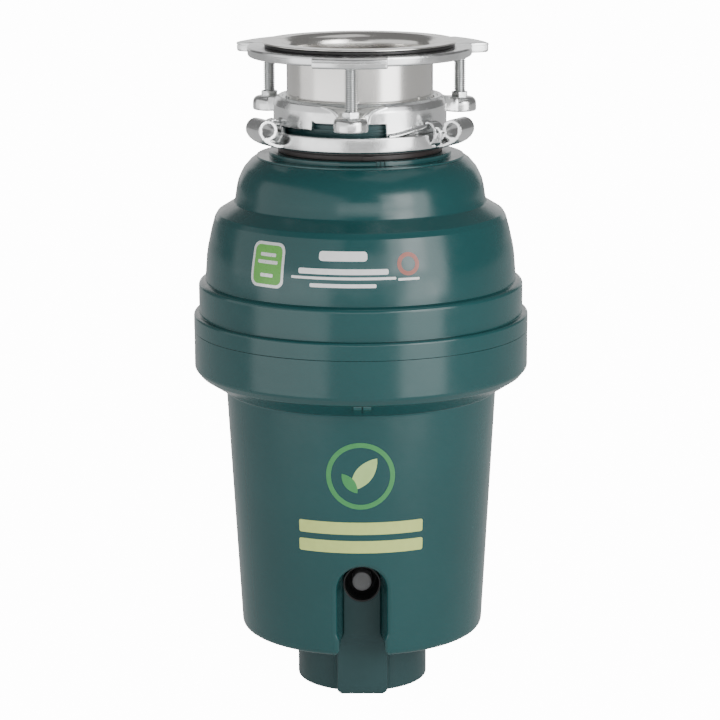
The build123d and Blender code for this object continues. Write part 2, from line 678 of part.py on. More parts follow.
def backup_ring():
    with BuildPart() as ring:
        with BuildSketch(Plane.XY.offset(BACKUP_BOTTOM)):
            Circle(BACKUP_R)
        extrude(amount=BACKUP_TOP - BACKUP_BOTTOM)
        for angle in STUD_ANGLES:
            ear = tube(0, EAR_R, BACKUP_BOTTOM, BACKUP_TOP)
            strip = Rot(0, 0, angle) * block((40, -EAR_HALF_W, 380), (90, EAR_HALF_W, 400))
            add(ear & strip)
        fillet(ring.edges().filter_by(Axis.Z), 3.0)
        add(tube(0, BACKUP_BORE_R, 380, 400), mode=Mode.SUBTRACT)
        for angle in STUD_ANGLES:
            x, y, _ = at_angle(STUD_AT, angle)
            add(rod(STUD_R + 0.25, (x, y, 380), (x, y, 389.1)), mode=Mode.SUBTRACT)
        chamfer(ring.faces().sort_by(Axis.Z)[-1].outer_wire().edges(), 0.8)
    save(ring, "backup_ring")


def flange_gasket():
    with BuildPart() as gasket:
        add(tube(BACKUP_BORE_R + 0.8, 55.8, BACKUP_TOP + 0.1, 393.7))
    save(gasket, "flange_gasket")


def sink_flange():
    inner = SLEEVE_R - SLEEVE_WALL
    with BuildPart() as flange:
        with BuildSketch(Plane.XZ):
            with BuildLine():
                Polyline((SLEEVE_R, 389.6), (SLEEVE_R, 359.6), (SLEEVE_R - 0.7, 359.3),
                         (SLEEVE_R - 0.7, 357.1), (SLEEVE_R, 356.8), (SLEEVE_R, SLEEVE_BOTTOM),
                         (inner, SLEEVE_BOTTOM), (inner, 356.4), (inner - 0.7, 356.9),
                         (inner - 0.7, 359.5), (inner, 360.0), (inner, 389.4))
                ThreePointArc((inner, 389.4), (44.7, 393.3), (48.8, RIM_TOP - 0.1))
                Polyline((48.8, RIM_TOP - 0.1), (54.0, RIM_TOP), (RIM_R - 0.4, RIM_TOP - 0.1),
                         (RIM_R, RIM_TOP - 0.5), (RIM_R, 394.0), (48.6, 394.0))
                ThreePointArc((48.6, 394.0), (45.4, 392.8), (SLEEVE_R, 389.6))
            make_face()
        revolve(axis=Axis.Z)
    save(flange, "sink_flange")


def snap_ring():
    with BuildPart() as ring:
        add(sector(SLEEVE_R - 0.65, 46.6, 357.3, 359.2, 90.0, 348))
    save(ring, "snap_ring")


def splash_guard():
    with BuildPart() as guard:
        add(turned((12.0, 346.0), (39.8, 344.0), (40.7, 344.6), (40.7, 351.9), (46.2, 351.9), (46.2, 353.8),
                   (38.8, 353.8), (38.8, 346.6), (12.0, 348.4)))
        with PolarLocations(0, 8):
            with Locations((22.0, 0, 347.0)):
                Box(26.0, 1.0, 12.0, mode=Mode.SUBTRACT)
    save(guard, "splash_guard")


os.makedirs("parts", exist_ok=True)

lower_shell()
base_cover()
base_plate()
cover_screws()
cable_gland()
ground_screw()
button_bushing()
reset_button()
button_spring()
overload_protector()
rectifier_board()
bridge_rectifier()

lower_end_bell()
bearing("lower_bearing", 14.0, 99.1, 107.1)
motor_can()
field_magnets()
through_bolts()
shaft()
armature_core()
armature_windings()
commutator()
brush_gear()
bearing("upper_bearing", 16.0, 215.8, 225.9)

drain_housing()
discharge_gasket()
shaft_seal()
slinger()
turntable()
turntable_nut()
impeller_pins()
impeller("impeller_1", 1)
impeller("impeller_2", -1)
grind_ring()
chamber_gasket()
housing_screws()
hopper()
upper_shell()
insulation()
neck_rings()

lock_ring()
support_ring()
mount_nuts()
for number, stud_angle in enumerate(STUD_ANGLES, start=1):
    mount_screw(f"mount_screw_{number}", stud_angle)
backup_ring()
flange_gasket()
sink_flange()
snap_ring()
splash_guard()
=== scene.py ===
import bmesh
import bpy
import json
import math
from mathutils import Matrix, Quaternion, Vector, noise


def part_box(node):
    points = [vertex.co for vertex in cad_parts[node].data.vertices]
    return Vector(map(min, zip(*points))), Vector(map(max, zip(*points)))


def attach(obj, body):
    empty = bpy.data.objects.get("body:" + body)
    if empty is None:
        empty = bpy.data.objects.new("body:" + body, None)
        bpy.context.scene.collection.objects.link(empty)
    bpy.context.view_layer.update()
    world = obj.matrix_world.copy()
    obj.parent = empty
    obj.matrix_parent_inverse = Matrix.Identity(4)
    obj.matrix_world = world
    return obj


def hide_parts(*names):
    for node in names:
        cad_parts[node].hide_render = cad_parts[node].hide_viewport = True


# Looks of the kitchen garbage disposal. Outlines and sizes are in millimetres, as (radius, height)
# or (x, y, z), and build() turns them into metres. Angles are in degrees from +X; the front is -90.
# A third number in an outline's corner is its rounding.

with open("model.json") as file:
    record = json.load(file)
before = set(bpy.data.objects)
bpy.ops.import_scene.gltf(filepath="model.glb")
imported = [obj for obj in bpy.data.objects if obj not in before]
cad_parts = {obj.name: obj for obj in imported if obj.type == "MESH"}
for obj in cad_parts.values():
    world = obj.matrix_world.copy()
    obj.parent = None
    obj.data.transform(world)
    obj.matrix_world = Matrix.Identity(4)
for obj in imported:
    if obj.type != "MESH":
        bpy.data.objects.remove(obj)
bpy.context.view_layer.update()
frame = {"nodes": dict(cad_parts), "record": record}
MM = 0.001
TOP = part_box("sink_flange")[1].z / MM
RIM_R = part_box("sink_flange")[1].x / MM + 1.2
LOBE_BOTTOM = 348.8
STUD_AT = 67.3  # screw centres' radius
STUDS = (-94.5, 25.5, 145.5)
STUD_HOLE_R = 3.8
LUG_AT = 67.0
LUG_Z = 346.0
LUGS = (-30.0, 210.0, 90.0)
ROUND = 64  # sides of the button, its bushing and its bore


# ---- mesh helpers -----------------------------------------------------------
def soft(*corners, steps=6):
    """Closed outline; a corner given as (radius, height, rounding) is filleted."""
    outline = []
    for index, corner in enumerate(corners):
        here = Vector(corner[:2])
        if len(corner) < 3:
            outline.append(tuple(here))
            continue
        back = Vector(corners[index - 1][:2]) - here
        ahead = Vector(corners[(index + 1) % len(corners)][:2]) - here
        reach = corner[2] / math.tan(back.angle(ahead) / 2)
        reach = min(reach, back.length * 0.49, ahead.length * 0.49)
        start = here + back.normalized() * reach
        end = here + ahead.normalized() * reach
        for step in range(steps + 1):
            t = step / steps
            outline.append(tuple(start * (1 - t) ** 2 + here * 2 * t * (1 - t) + end * t ** 2))
    return outline


def divided(outline, longest):
    """The same outline with its long sides cut into equal lengths."""
    points = []
    for index, point in enumerate(outline):
        here = Vector(point)
        ahead = Vector(outline[(index + 1) % len(outline)])
        parts = max(1, math.ceil((ahead - here).length / longest))
        points += [tuple(here.lerp(ahead, part / parts)) for part in range(parts)]
    return points


def loft(bm, rings, closed, caps=False):
    """Joins rings of points, each a closed loop, into a skin."""
    loops = [[bm.verts.new(point) for point in ring] for ring in rings]
    pairs = list(zip(loops, loops[1:]))
    if closed:
        pairs.append((loops[-1], loops[0]))
    for one, two in pairs:
        for index in range(len(one)):
            after = (index + 1) % len(one)
            bm.faces.new((one[index], one[after], two[after], two[index]))
    if caps:
        bm.faces.new(loops[0])
        bm.faces.new(loops[-1])


def polar(bm, outline_at, steps=192, start=0.0, stop=360.0):
    """Turns an outline about Z; outline_at(angle) gives its (radius, height) points."""
    whole = stop - start >= 360
    count = steps if whole else steps + 1
    rings = []
    for index in range(count):
        angle = start + (stop - start) * index / steps
        turn = math.radians(angle)
        rings.append([(r * math.cos(turn), r * math.sin(turn), z) for r, z in outline_at(angle)])
    loft(bm, rings, closed=whole, caps=not whole)


def upright_circle(radius, z, steps, place=(0, 0)):
    """Points of a level circle at height z."""
    turns = [math.tau * k / steps for k in range(steps)]
    return [(place[0] + radius * math.cos(turn), place[1] + radius * math.sin(turn), z) for turn in turns]


def facing_circle(radius, y, height, steps):
    """Points of a circle that faces the front, at depth y."""
    turns = [math.tau * k / steps for k in range(steps)]
    return [(radius * math.cos(turn), y, height + radius * math.sin(turn)) for turn in turns]


def column(bm, place, radius, low, high, steps=32, round_top=0.0):
    """Upright cylinder with a rounded top edge."""
    profile = [(radius, low), (radius, high - round_top)]
    for step in range(1, 5):
        turn = math.radians(step * 22.5)
        if round_top:
            profile.append((radius - round_top * (1 - math.cos(turn)),
                            high - round_top * (1 - math.sin(turn))))
    loft(bm, [upright_circle(r, z, steps, place) for r, z in profile], closed=False, caps=True)


def turned_about(bm, angle):
    """Turns everything made in bm about the vertical axis."""
    turn = Matrix.Rotation(math.radians(angle), 3, "Z")
    bmesh.ops.rotate(bm, verts=bm.verts, cent=(0, 0, 0), matrix=turn)


def join(bm, other):
    """Adds another bmesh's faces to bm."""
    mesh = bpy.data.meshes.new("part")
    other.to_mesh(mesh)
    other.free()
    bm.from_mesh(mesh)
    bpy.data.meshes.remove(mesh)


def stud_place(angle):
    """Centre of the screw at this angle."""
    turn = math.radians(angle)
    return STUD_AT * math.cos(turn), STUD_AT * math.sin(turn)


def build(name, bm):
    """Object in metres from a bmesh in millimetres."""
    bmesh.ops.recalc_face_normals(bm, faces=bm.faces)
    mesh = bpy.data.meshes.new(name)
    bm.to_mesh(mesh)
    bm.free()
    mesh.transform(Matrix.Scale(MM, 4))
    piece = bpy.data.objects.new(name, mesh)
    bpy.context.scene.collection.objects.link(piece)
    return piece


def block(name, across, heights, depths):
    """Upright block between two values of x, of z and of y."""
    bm = bmesh.new()
    (left, right), (low, high) = across, heights
    corners = ((left, low), (right, low), (right, high), (left, high))
    loft(bm, [[(x, y, z) for x, z in corners] for y in depths], closed=False, caps=True)
    return build(name, bm)


def bake(piece):
    """Applies the modifiers."""
    bpy.context.view_layer.update()
    graph = bpy.context.evaluated_depsgraph_get()
    mesh = bpy.data.meshes.new_from_object(piece.evaluated_get(graph))
    piece.modifiers.clear()
    piece.data = mesh


def combine(piece, other, operation):
    """Joins other to the piece, or cuts it out, and removes it."""
    cut = piece.modifiers.new("combine", "BOOLEAN")
    cut.operation = operation
    cut.solver = "EXACT"
    cut.object = other
    bake(piece)
    bpy.data.objects.remove(other)


def melt(piece, voxel, rounds):
    """Turns overlapping solids into one cast skin with soft inner corners."""
    skin = piece.modifiers.new("skin", "REMESH")
    skin.mode = "VOXEL"
    skin.voxel_size = voxel * MM
    ease = piece.modifiers.new("ease", "SMOOTH")
    ease.factor = 0.5
    ease.iterations = rounds
    bake(piece)


def dress(piece, body, slot, *hidden, material=None, crease=32):
    """Shading, material and body of a finished piece, its material taken from the slot unless given; hidden
    names the CAD nodes it replaces, which are hidden.
    """
    piece.data.materials.clear()
    piece.data.materials.append(material or MATERIALS[slot])
    piece.data.shade_smooth()
    piece.data.set_sharp_from_angle(angle=math.radians(crease))
    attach(piece, body)
    if hidden:
        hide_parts(*hidden)
    return piece


def smooth_step(value, low, high):
    t = min(1.0, max(0.0, (value - low) / (high - low)))
    return t * t * (3 - 2 * t)


def gap_between(angle, middle):
    """Signed difference between two angles, from -180 to 180."""
    return (angle - middle + 180) % 360 - 180


# ---- materials ----------------------------------------------------------------
class Nodes:
    """Small helper that adds and links shader nodes."""

    def __init__(self, name):
        self.material = bpy.data.materials.new(name)
        self.material.use_nodes = True
        self.tree = self.material.node_tree
        self.shader = self.tree.nodes["Principled BSDF"]
        self.place = self.add("ShaderNodeTexCoord").outputs["Object"]

    def add(self, kind, **values):
        node = self.tree.nodes.new(kind)
        for key, value in values.items():
            setattr(node, key, value)
        return node

    def link(self, source, target):
        self.tree.links.new(source, target)

    def feed(self, name, source):
        """Links source to the shader's input of that name."""
        self.link(source, self.shader.inputs[name])

    def fix(self, name, value):
        """Sets the shader's input of that name."""
        self.shader.inputs[name].default_value = value

    def noise(self, scale, detail=3.0, rough=0.5, place=None):
        node = self.add("ShaderNodeTexNoise")
        node.inputs["Scale"].default_value = scale
        node.inputs["Detail"].default_value = detail
        node.inputs["Roughness"].default_value = rough
        self.link(place or self.place, node.inputs["Vector"])
        return node.outputs["Fac"]

    def remap(self, source, low, high, new_low, new_high):
        node = self.add("ShaderNodeMapRange")
        names = ("From Min", "From Max", "To Min", "To Max")
        for key, value in zip(names, (low, high, new_low, new_high)):
            node.inputs[key].default_value = value
        self.link(source, node.inputs["Value"])
        return node.outputs["Result"]

    def mix(self, factor, one, two):
        node = self.add("ShaderNodeMix", data_type="RGBA")
        self.link(factor, node.inputs["Factor"])
        for socket, value in ((node.inputs["A"], one), (node.inputs["B"], two)):
            if isinstance(value, tuple):
                socket.default_value = (*value, 1)
            else:
                self.link(value, socket)
        return node.outputs["Result"]

    def bump(self, height, strength, distance, under=None):
        node = self.add("ShaderNodeBump")
        node.inputs["Strength"].default_value = strength
        node.inputs["Distance"].default_value = distance
        self.link(height, node.inputs["Height"])
        if under:
            self.link(under, node.inputs["Normal"])
        return node.outputs["Normal"]

    def around(self, turns, along):
        """Coordinates that run round the vertical axis, stretched for turned or drawn metal."""
        split = self.add("ShaderNodeSeparateXYZ")
        self.link(self.place, split.inputs["Vector"])
        angle = self.add("ShaderNodeMath", operation="ARCTAN2")
        self.link(split.outputs["Y"], angle.inputs[0])
        self.link(split.outputs["X"], angle.inputs[1])
        join_axes = self.add("ShaderNodeCombineXYZ")
        for source, factor, target in ((angle.outputs[0], turns, "X"), (split.outputs["Z"], along, "Y")):
            scale = self.add("ShaderNodeMath", operation="MULTIPLY")
            scale.inputs[1].default_value = factor
            self.link(source, scale.inputs[0])
            self.link(scale.outputs[0], join_axes.inputs[target])
        return join_axes.outputs["Vector"]


def shade(colour, factor):
    return tuple(min(1.0, channel * factor) for channel in colour)


def moulded(name, colour, rough, peel=0.06, specular=0.5):
    """Moulded plastic: slight tone drift, fine orange peel, faint scuffs that dull the gloss."""
    n = Nodes(name)
    drift = n.remap(n.noise(14.0, 4.0), 0.3, 0.7, 0.0, 1.0)
    n.feed("Base Color", n.mix(drift, shade(colour, 0.93), shade(colour, 1.07)))
    scuff = n.noise(90.0, 6.0, 0.65)
    n.feed("Roughness", n.remap(scuff, 0.35, 0.75, rough - 0.03, rough + 0.07))
    n.feed("Normal", n.bump(n.noise(1400.0, 2.0), peel, 0.0002))
    n.fix("Specular IOR Level", specular)
    return n.material


def cast_metal(name, colour, rough=0.2, grain=0.1):
    """Die-cast and tumbled: cloudy gloss, small pits and a soft uneven skin."""
    n = Nodes(name)
    cloud = n.remap(n.noise(55.0, 5.0, 0.6), 0.35, 0.68, 0.0, 1.0)
    n.feed("Base Color", n.mix(cloud, shade(colour, 0.92), colour))
    n.feed("Roughness", n.remap(n.noise(160.0, 6.0, 0.7), 0.35, 0.7, rough - 0.05, rough + 0.08))
    n.fix("Metallic", 1.0)
    uneven = n.bump(n.noise(130.0, 3.0), grain * 0.5, 0.0006)
    n.feed("Normal", n.bump(n.noise(900.0, 4.0, 0.6), grain, 0.00022, uneven))
    return n.material


def rough_cast(name, colour):
    """The cast ring: as cast_metal, with patches where the mould has left a coarse pebbled skin."""
    n = Nodes(name)
    patch = n.remap(n.noise(30.0, 2.0), 0.56, 0.66, 0.0, 1.0)
    n.feed("Base Color", n.mix(patch, colour, shade(colour, 0.8)))
    n.feed("Roughness", n.remap(n.noise(160.0, 6.0, 0.7), 0.35, 0.7, 0.15, 0.3))
    n.fix("Metallic", 1.0)
    pebble = n.add("ShaderNodeMath", operation="MULTIPLY")
    n.link(n.noise(700.0, 3.0, 0.6), pebble.inputs[0])
    n.link(n.remap(patch, 0.0, 1.0, 0.1, 1.5), pebble.inputs[1])
    uneven = n.bump(n.noise(110.0, 3.0), 0.1, 0.0006)
    n.feed("Normal", n.bump(pebble.outputs[0], 0.35, 0.0003, uneven))
    return n.material


def satin_steel(name, colour, rough=0.26):
    """Rolled stainless sheet, lines round the axis, a few handling marks."""
    n = Nodes(name)
    lines = n.noise(1.0, 3.0, 0.5, n.around(6.0, 5200.0))
    marks = n.remap(n.noise(45.0, 6.0, 0.7), 0.5, 0.72, 0.0, 1.0)
    n.feed("Base Color", n.mix(marks, colour, shade(colour, 0.94)))
    n.feed("Roughness", n.remap(lines, 0.3, 0.7, rough - 0.04, rough + 0.05))
    n.fix("Metallic", 1.0)
    uneven = n.bump(n.noise(30.0, 2.0), 0.04, 0.0008)
    n.feed("Normal", n.bump(lines, 0.05, 0.0001, uneven))
    return n.material


def plated(name, colour, rough=0.2):
    """Zinc-plated or ground steel: fine crystalline variation."""
    n = Nodes(name)
    cells = n.add("ShaderNodeTexVoronoi")
    cells.inputs["Scale"].default_value = 420.0
    n.link(n.place, cells.inputs["Vector"])
    n.feed("Base Color", n.mix(cells.outputs["Distance"], shade(colour, 0.9), colour))
    n.feed("Roughness", n.remap(n.noise(300.0, 4.0), 0.3, 0.7, rough - 0.06, rough + 0.1))
    n.fix("Metallic", 1.0)
    n.feed("Normal", n.bump(n.noise(1500.0, 2.0), 0.1, 0.0001))
    return n.material


def grained(name, colour, rough, grain, size, metal=0.0):
    """Rubber, felt, sintered or pressed material: a matt grain at its own scale."""
    n = Nodes(name)
    speck = n.noise(size, 5.0, 0.65)
    n.feed("Base Color", n.mix(n.remap(speck, 0.3, 0.7, 0.0, 1.0), shade(colour, 0.8), shade(colour, 1.25)))
    n.feed("Roughness", n.remap(speck, 0.3, 0.7, rough - 0.06, rough + 0.08))
    n.fix("Metallic", metal)
    n.feed("Normal", n.bump(speck, grain, 0.0002))
    return n.material


CAST_COLOUR = (0.86, 0.87, 0.87)
MATERIALS = {
    "green_shell": moulded("green_shell", (0.0105, 0.063, 0.065), 0.2),
    "green_base": moulded("green_base", (0.021, 0.055, 0.058), 0.38, specular=0.35),
    "green_hopper": moulded("green_hopper", (0.014, 0.062, 0.066), 0.36),
    "cast_rings": cast_metal("cast_rings", CAST_COLOUR),
    "stainless": satin_steel("stainless", (0.83, 0.815, 0.785), 0.2),
    "zinc_steel": plated("zinc_steel", (0.82, 0.84, 0.84)),
    "black_rubber": grained("black_rubber", (0.02, 0.02, 0.02), 0.42, 0.2, 700.0),
    "brown_washer": grained("brown_washer", (0.022, 0.016, 0.015), 0.42, 0.2, 500.0),
    "grey_button": moulded("grey_button", (0.21, 0.21, 0.215), 0.36),
    "spring_steel": plated("spring_steel", (0.6, 0.6, 0.6)),
    "foam": grained("foam", (0.06, 0.06, 0.065), 0.9, 0.9, 260.0),
    "drain_plastic": moulded("drain_plastic", (0.028, 0.028, 0.03), 0.42, peel=0.2),
    "wear_steel": satin_steel("wear_steel", (0.62, 0.62, 0.6), 0.3),
    "motor_steel": moulded("motor_steel", (0.03, 0.03, 0.033), 0.35, peel=0.15),
    "end_casting": cast_metal("end_casting", (0.62, 0.62, 0.62), 0.34, 0.6),
    "bearing_steel": plated("bearing_steel", (0.74, 0.74, 0.75), 0.16),
    "ferrite": grained("ferrite", (0.045, 0.045, 0.05), 0.6, 0.4, 500.0),
    "laminations": grained("laminations", (0.2, 0.2, 0.21), 0.4, 0.3, 600.0, metal=0.9),
    "copper": plated("copper", (0.72, 0.34, 0.17), 0.28),
    "carbon": grained("carbon", (0.02, 0.02, 0.02), 0.45, 0.4, 800.0),
    "brass_fittings": plated("brass_fittings", (0.75, 0.58, 0.28), 0.26),
    "insulating_board": grained("insulating_board", (0.22, 0.13, 0.06), 0.6, 0.4, 300.0),
    "circuit_board": grained("circuit_board", (0.02, 0.14, 0.05), 0.35, 0.1, 200.0),
    "black_moulding": moulded("black_moulding", (0.018, 0.018, 0.018), 0.4, peel=0.2),
    "ground_green": plated("ground_green", (0.1, 0.5, 0.16), 0.3),
}
# Darker, rougher steel for the screws' thread roots: painted shade in the grooves.
THREAD_ROOT_SHADE = plated("thread_root_shade", (0.58, 0.59, 0.59), 0.36)
ROUGH_CAST = rough_cast("rough_cast", CAST_COLOUR)

for sub in frame["record"]["subparts"]:
    node = frame["nodes"][sub["node"]]
    node.data.materials.clear()
    node.data.materials.append(MATERIALS[sub["material_slot"]])


# ---- lower shell with its arched slot ----------------------------------------------
SEAM = 220.7  # between the lower and upper shells
SLOT_HALF = 14.75
SLOT_CROWN = 75.1  # height of the arch's centre
SLOT_ROUND = 3.0  # rounding of the slot's rim
PANEL_HALF = 11.4
PANEL_FOOT_HALF = 15.25
PANEL_GAP = 0.15
PANEL_Y = -50.0
PANEL_FOOT_Y = -46.0
PANEL_TAPER = 2.4  # how far the panel leans forward below the slot
BUTTON_Z = 71.7
FLOOR_Z = 33.4  # underside of the lower shell
SHELL_FOOT = (74.3, 38.5)
SHELL_TOP = (82.3, 180.2)


def panel_half(z):
    """Half width of the button panel, which flares out below the slot."""
    return PANEL_HALF + (PANEL_FOOT_HALF - PANEL_HALF) * (1 - smooth_step(z, 30.5, 42.0))


def shell_face(x, z):
    """Y of the lower shell's outside at the front."""
    (foot_r, foot_z), (top_r, top_z) = SHELL_FOOT, SHELL_TOP
    radius = foot_r + (top_r - foot_r) * (z - foot_z) / (top_z - foot_z)
    return -math.sqrt(radius ** 2 - x ** 2)


def slot_line(grow, foot, inner=False):
    """Points round the slot: up the left side, over the arch, down the right side.

    The line follows the slot's rim, or with inner the panel's edge behind it.
    """
    heights = [foot, 34.0] + [34.8 + 0.8 * k for k in range(18)] + [50.0 + 4.4 * k for k in range(6)]
    left = []
    for z in heights:
        half = SLOT_HALF - 1.2 * (1 - smooth_step(z, 43.5, 48.0))
        half += 2.6 * max(0.0, (37.0 - z) / 3.6) ** 2 if z > FLOOR_Z - 1 else 3.2
        if inner:
            half = panel_half(z) + PANEL_GAP
        left.append((-half - grow, z))
    radius = (PANEL_HALF + PANEL_GAP if inner else SLOT_HALF) + grow
    crown = SLOT_CROWN - 2.0 if inner else SLOT_CROWN
    arc = [(-radius * math.cos(math.radians(a)), crown + radius * math.sin(math.radians(a)))
           for a in range(0, 181, 6)]
    return left + arc + [(-x, z) for x, z in reversed(left)]


def slot_solid(stations, inner_y, inner_grow, foot):
    """Solid along the slot: rings at (grow, depth below the shell's face), then the panel end."""
    bm = bmesh.new()
    rings = []
    for grow, depth in stations:
        rings.append([(x, shell_face(min(abs(x), 60.0), z) + depth, z) for x, z in slot_line(grow, foot)])
    for y in (PANEL_Y - 0.4, inner_y):
        rings.append([(x, y, z) for x, z in slot_line(inner_grow, foot, inner=True)])
    loft(bm, rings, closed=False)
    for ring in (0, len(rings) - 1):
        bm.verts.ensure_lookup_table()
        count = len(rings[0])
        loop = [bm.verts[ring * count + k] for k in range(count)]
        middle = count // 2
        for k in range(middle):
            near, far = count - 1 - k, count - 2 - k
            if k + 1 < far:
                bm.faces.new((loop[k], loop[k + 1], loop[far], loop[near]))
    return build("slot", bm)


def lower_shell():
    """Collar, cone and tapered body, with the arched slot and the gap for the discharge port."""
    outside = soft((42.0, FLOOR_Z), (74.1, FLOOR_Z, 4.4), (82.4, 183.6, 2.0),
                   (98.2, 193.6, 4.0), (101.5, 197.6, 3.5), (101.5, SEAM - 0.1, 0.25), (98.5, SEAM - 0.1),
                   (98.5, 226.6), (96.5, 226.6), (96.5, 218.0), (98.3, 216.5), (98.3, 200.6), (96.2, 197.0),
                   (80.0, 186.8), (79.5, 183.4), (71.5, 39.0), (69.0, 36.4), (42.0, 36.4))
    bm = bmesh.new()
    outline = divided(outside, 5.0)
    polar(bm, lambda angle: outline, steps=240)
    piece = build("lower_shell_moulding", bm)
    walls = slot_solid([(2.0, 1.4), (2.0, 8.0)], PANEL_Y + 1.5, 2.0, FLOOR_Z + 0.25)
    combine(piece, walls, "UNION")
    stations = [(4.0, -7.0), (SLOT_ROUND * (1 - math.sin(math.radians(14))) + 1.2, -0.22)]
    for angle in (14, 26, 38, 50, 62, 76, 90):
        turn = math.radians(angle)
        stations.append((SLOT_ROUND * (1 - math.sin(turn)), SLOT_ROUND * (1 - math.cos(turn))))
    combine(piece, slot_solid(stations, PANEL_FOOT_Y + 1.5, 0.0, 25.0), "DIFFERENCE")
    combine(piece, block("port_gap", (-38, 38), (222.0, 232.0), (85, 112)), "DIFFERENCE")
    piece.modifiers.new("even", "WEIGHTED_NORMAL").keep_sharp = True
    return dress(piece, "housing", "green_shell", "lower_shell", crease=38)


def snap_tab():
    """Two small rounded catches side by side on the front of the cone."""
    bm = bmesh.new()
    outline = soft((84.5, 186.0), (89.0, 186.0, 0.8), (97.3, 191.2, 1.0), (97.0, 193.6, 0.8), (88.0, 193.6))
    for start, stop in ((-92.6, -89.9), (-89.3, -86.6)):
        polar(bm, lambda angle: outline, steps=8, start=start, stop=stop)
    return dress(build("snap_tab", bm), "housing", "green_shell")


# ---- base cover with the button panel ------------------------------------------------
def panel_rows():
    """The panel's sections from the foot up, as (height, front y, half width)."""
    rows = [(0.0, -43.4, 12.6), (0.3, -44.7, 12.9), (1.0, -45.6, 13.6)]
    rows.append((2.6, PANEL_FOOT_Y, PANEL_FOOT_HALF))
    heights = [6.0, 12.0, 18.0, 24.0, 28.0] + [30.0 + 0.8 * k for k in range(17)]
    heights += [46.0, 52.0, 58.0, 64.0, 70.0]
    for z in heights:
        front = PANEL_FOOT_Y - PANEL_TAPER * z / 33.0 if z < 33.0 else PANEL_FOOT_Y - PANEL_TAPER
        front += (PANEL_Y - PANEL_FOOT_Y + PANEL_TAPER) * smooth_step(z, 33.5, 39.0)
        rows.append((z, front, panel_half(z)))
    for angle in range(0, 86, 5):
        turn = math.radians(angle)
        height, half = BUTTON_Z + PANEL_HALF * math.sin(turn), PANEL_HALF * math.cos(turn)
        rows.append((height, PANEL_Y, max(0.8, half)))
    return rows


def panel():
    """Flat front panel: its foot flares into the round neck, its arched top carries the button."""
    bm = bmesh.new()
    rings = []
    for z, front, half in panel_rows():
        flare = 2.4 * (1 - smooth_step(z, 26.0, 33.0))
        back = -math.sqrt(39.2 ** 2 - (half + flare) ** 2) if z < 33.0 else -40.0
        corner = min(0.8, half * 0.5)
        side = []
        for step in range(7):
            t = step / 6
            side.append((half + flare * (1 - t) ** 2.2, back + (front + corner + 1.2 - back) * t))
        for step in range(6):
            turn = math.radians(step * 18)
            side.append((half - corner * (1 - math.cos(turn)), front + corner * (1 - math.sin(turn))))
        row = [(max(half - 4.0, 0.3), -36.0)] + side
        rings.append([(x, y, z) for x, y in row] + [(-x, y, z) for x, y in reversed(row)])
    loft(bm, rings, closed=False, caps=True)
    return build("panel", bm)


def base_cover():
    """Round neck and disc, with the panel, the button's bore and the posts inside."""
    bm = bmesh.new()
    neck = soft((36.9, 0), (39.9, 0, 3.0), (39.9, 37.0), (64.0, 37.0), (64.0, 39.5), (36.9, 39.5))
    neck = divided(neck, 6.0)
    polar(bm, lambda angle: neck, steps=192)
    piece = build("base_moulding", bm)
    combine(piece, block("flange_gap", (-17, 17), (36, 41), (-70, -41)), "DIFFERENCE")
    combine(piece, panel(), "UNION")
    bm = bmesh.new()
    loft(bm, [facing_circle(11.2, y, BUTTON_Z, ROUND) for y in (-60.0, -30.0)], closed=False, caps=True)
    combine(piece, build("bore", bm), "DIFFERENCE")
    bm = bmesh.new()
    for angle in (90, 210, 330):
        turn = math.radians(angle)
        column(bm, (52 * math.cos(turn), 52 * math.sin(turn)), 4.0, 39.0, 97.7)
    for x, y in ((-40, 12), (40, 12), (-30, 36), (30, 36)):
        column(bm, (x, y), 3.0, 39.0, 45.7)
    ledge = [(33.0, 5.7), (37.2, 5.7), (37.2, 8.2), (33.0, 8.2)]
    for angle in range(0, 360, 120):
        polar(bm, lambda _: ledge, 24, angle - 50, angle + 55)
    combine(piece, build("posts", bm), "UNION")
    return dress(piece, "housing", "green_base", "base_cover", crease=34)


def reset_button():
    """Grey plunger: domed end face, long side, collar behind the rubber."""
    bm = bmesh.new()
    face = -44.6
    profile = [(0.02, face + 0.05), (3.6, face), (5.0, face + 0.06), (5.65, face + 0.3), (5.9, face + 0.8),
               (5.9, -32.6), (8.0, -32.6), (8.0, -31.0), (3.0, -31.0), (3.0, -25.0), (0.02, -25.0)]
    loft(bm, [facing_circle(r, y, BUTTON_Z, ROUND) for r, y in profile], closed=False, caps=True)
    return dress(build("reset_plunger", bm), "reset_button", "grey_button", "reset_button")


def button_bushing():
    """Black rubber cup that seals round the plunger."""
    bm = bmesh.new()
    profile = soft((11.17, -49.5), (10.4, -49.5, 0.5), (10.2, -40.0, 1.5), (9.3, -35.6, 2.2),
                   (6.2, -34.2, 0.4), (6.05, -33.0), (11.17, -33.0))
    circles = [facing_circle(r, y, BUTTON_Z, ROUND) for r, y in profile]
    loft(bm, list(zip(*circles)), closed=True)
    return dress(build("button_boot", bm), "housing", "black_rubber", "button_bushing")


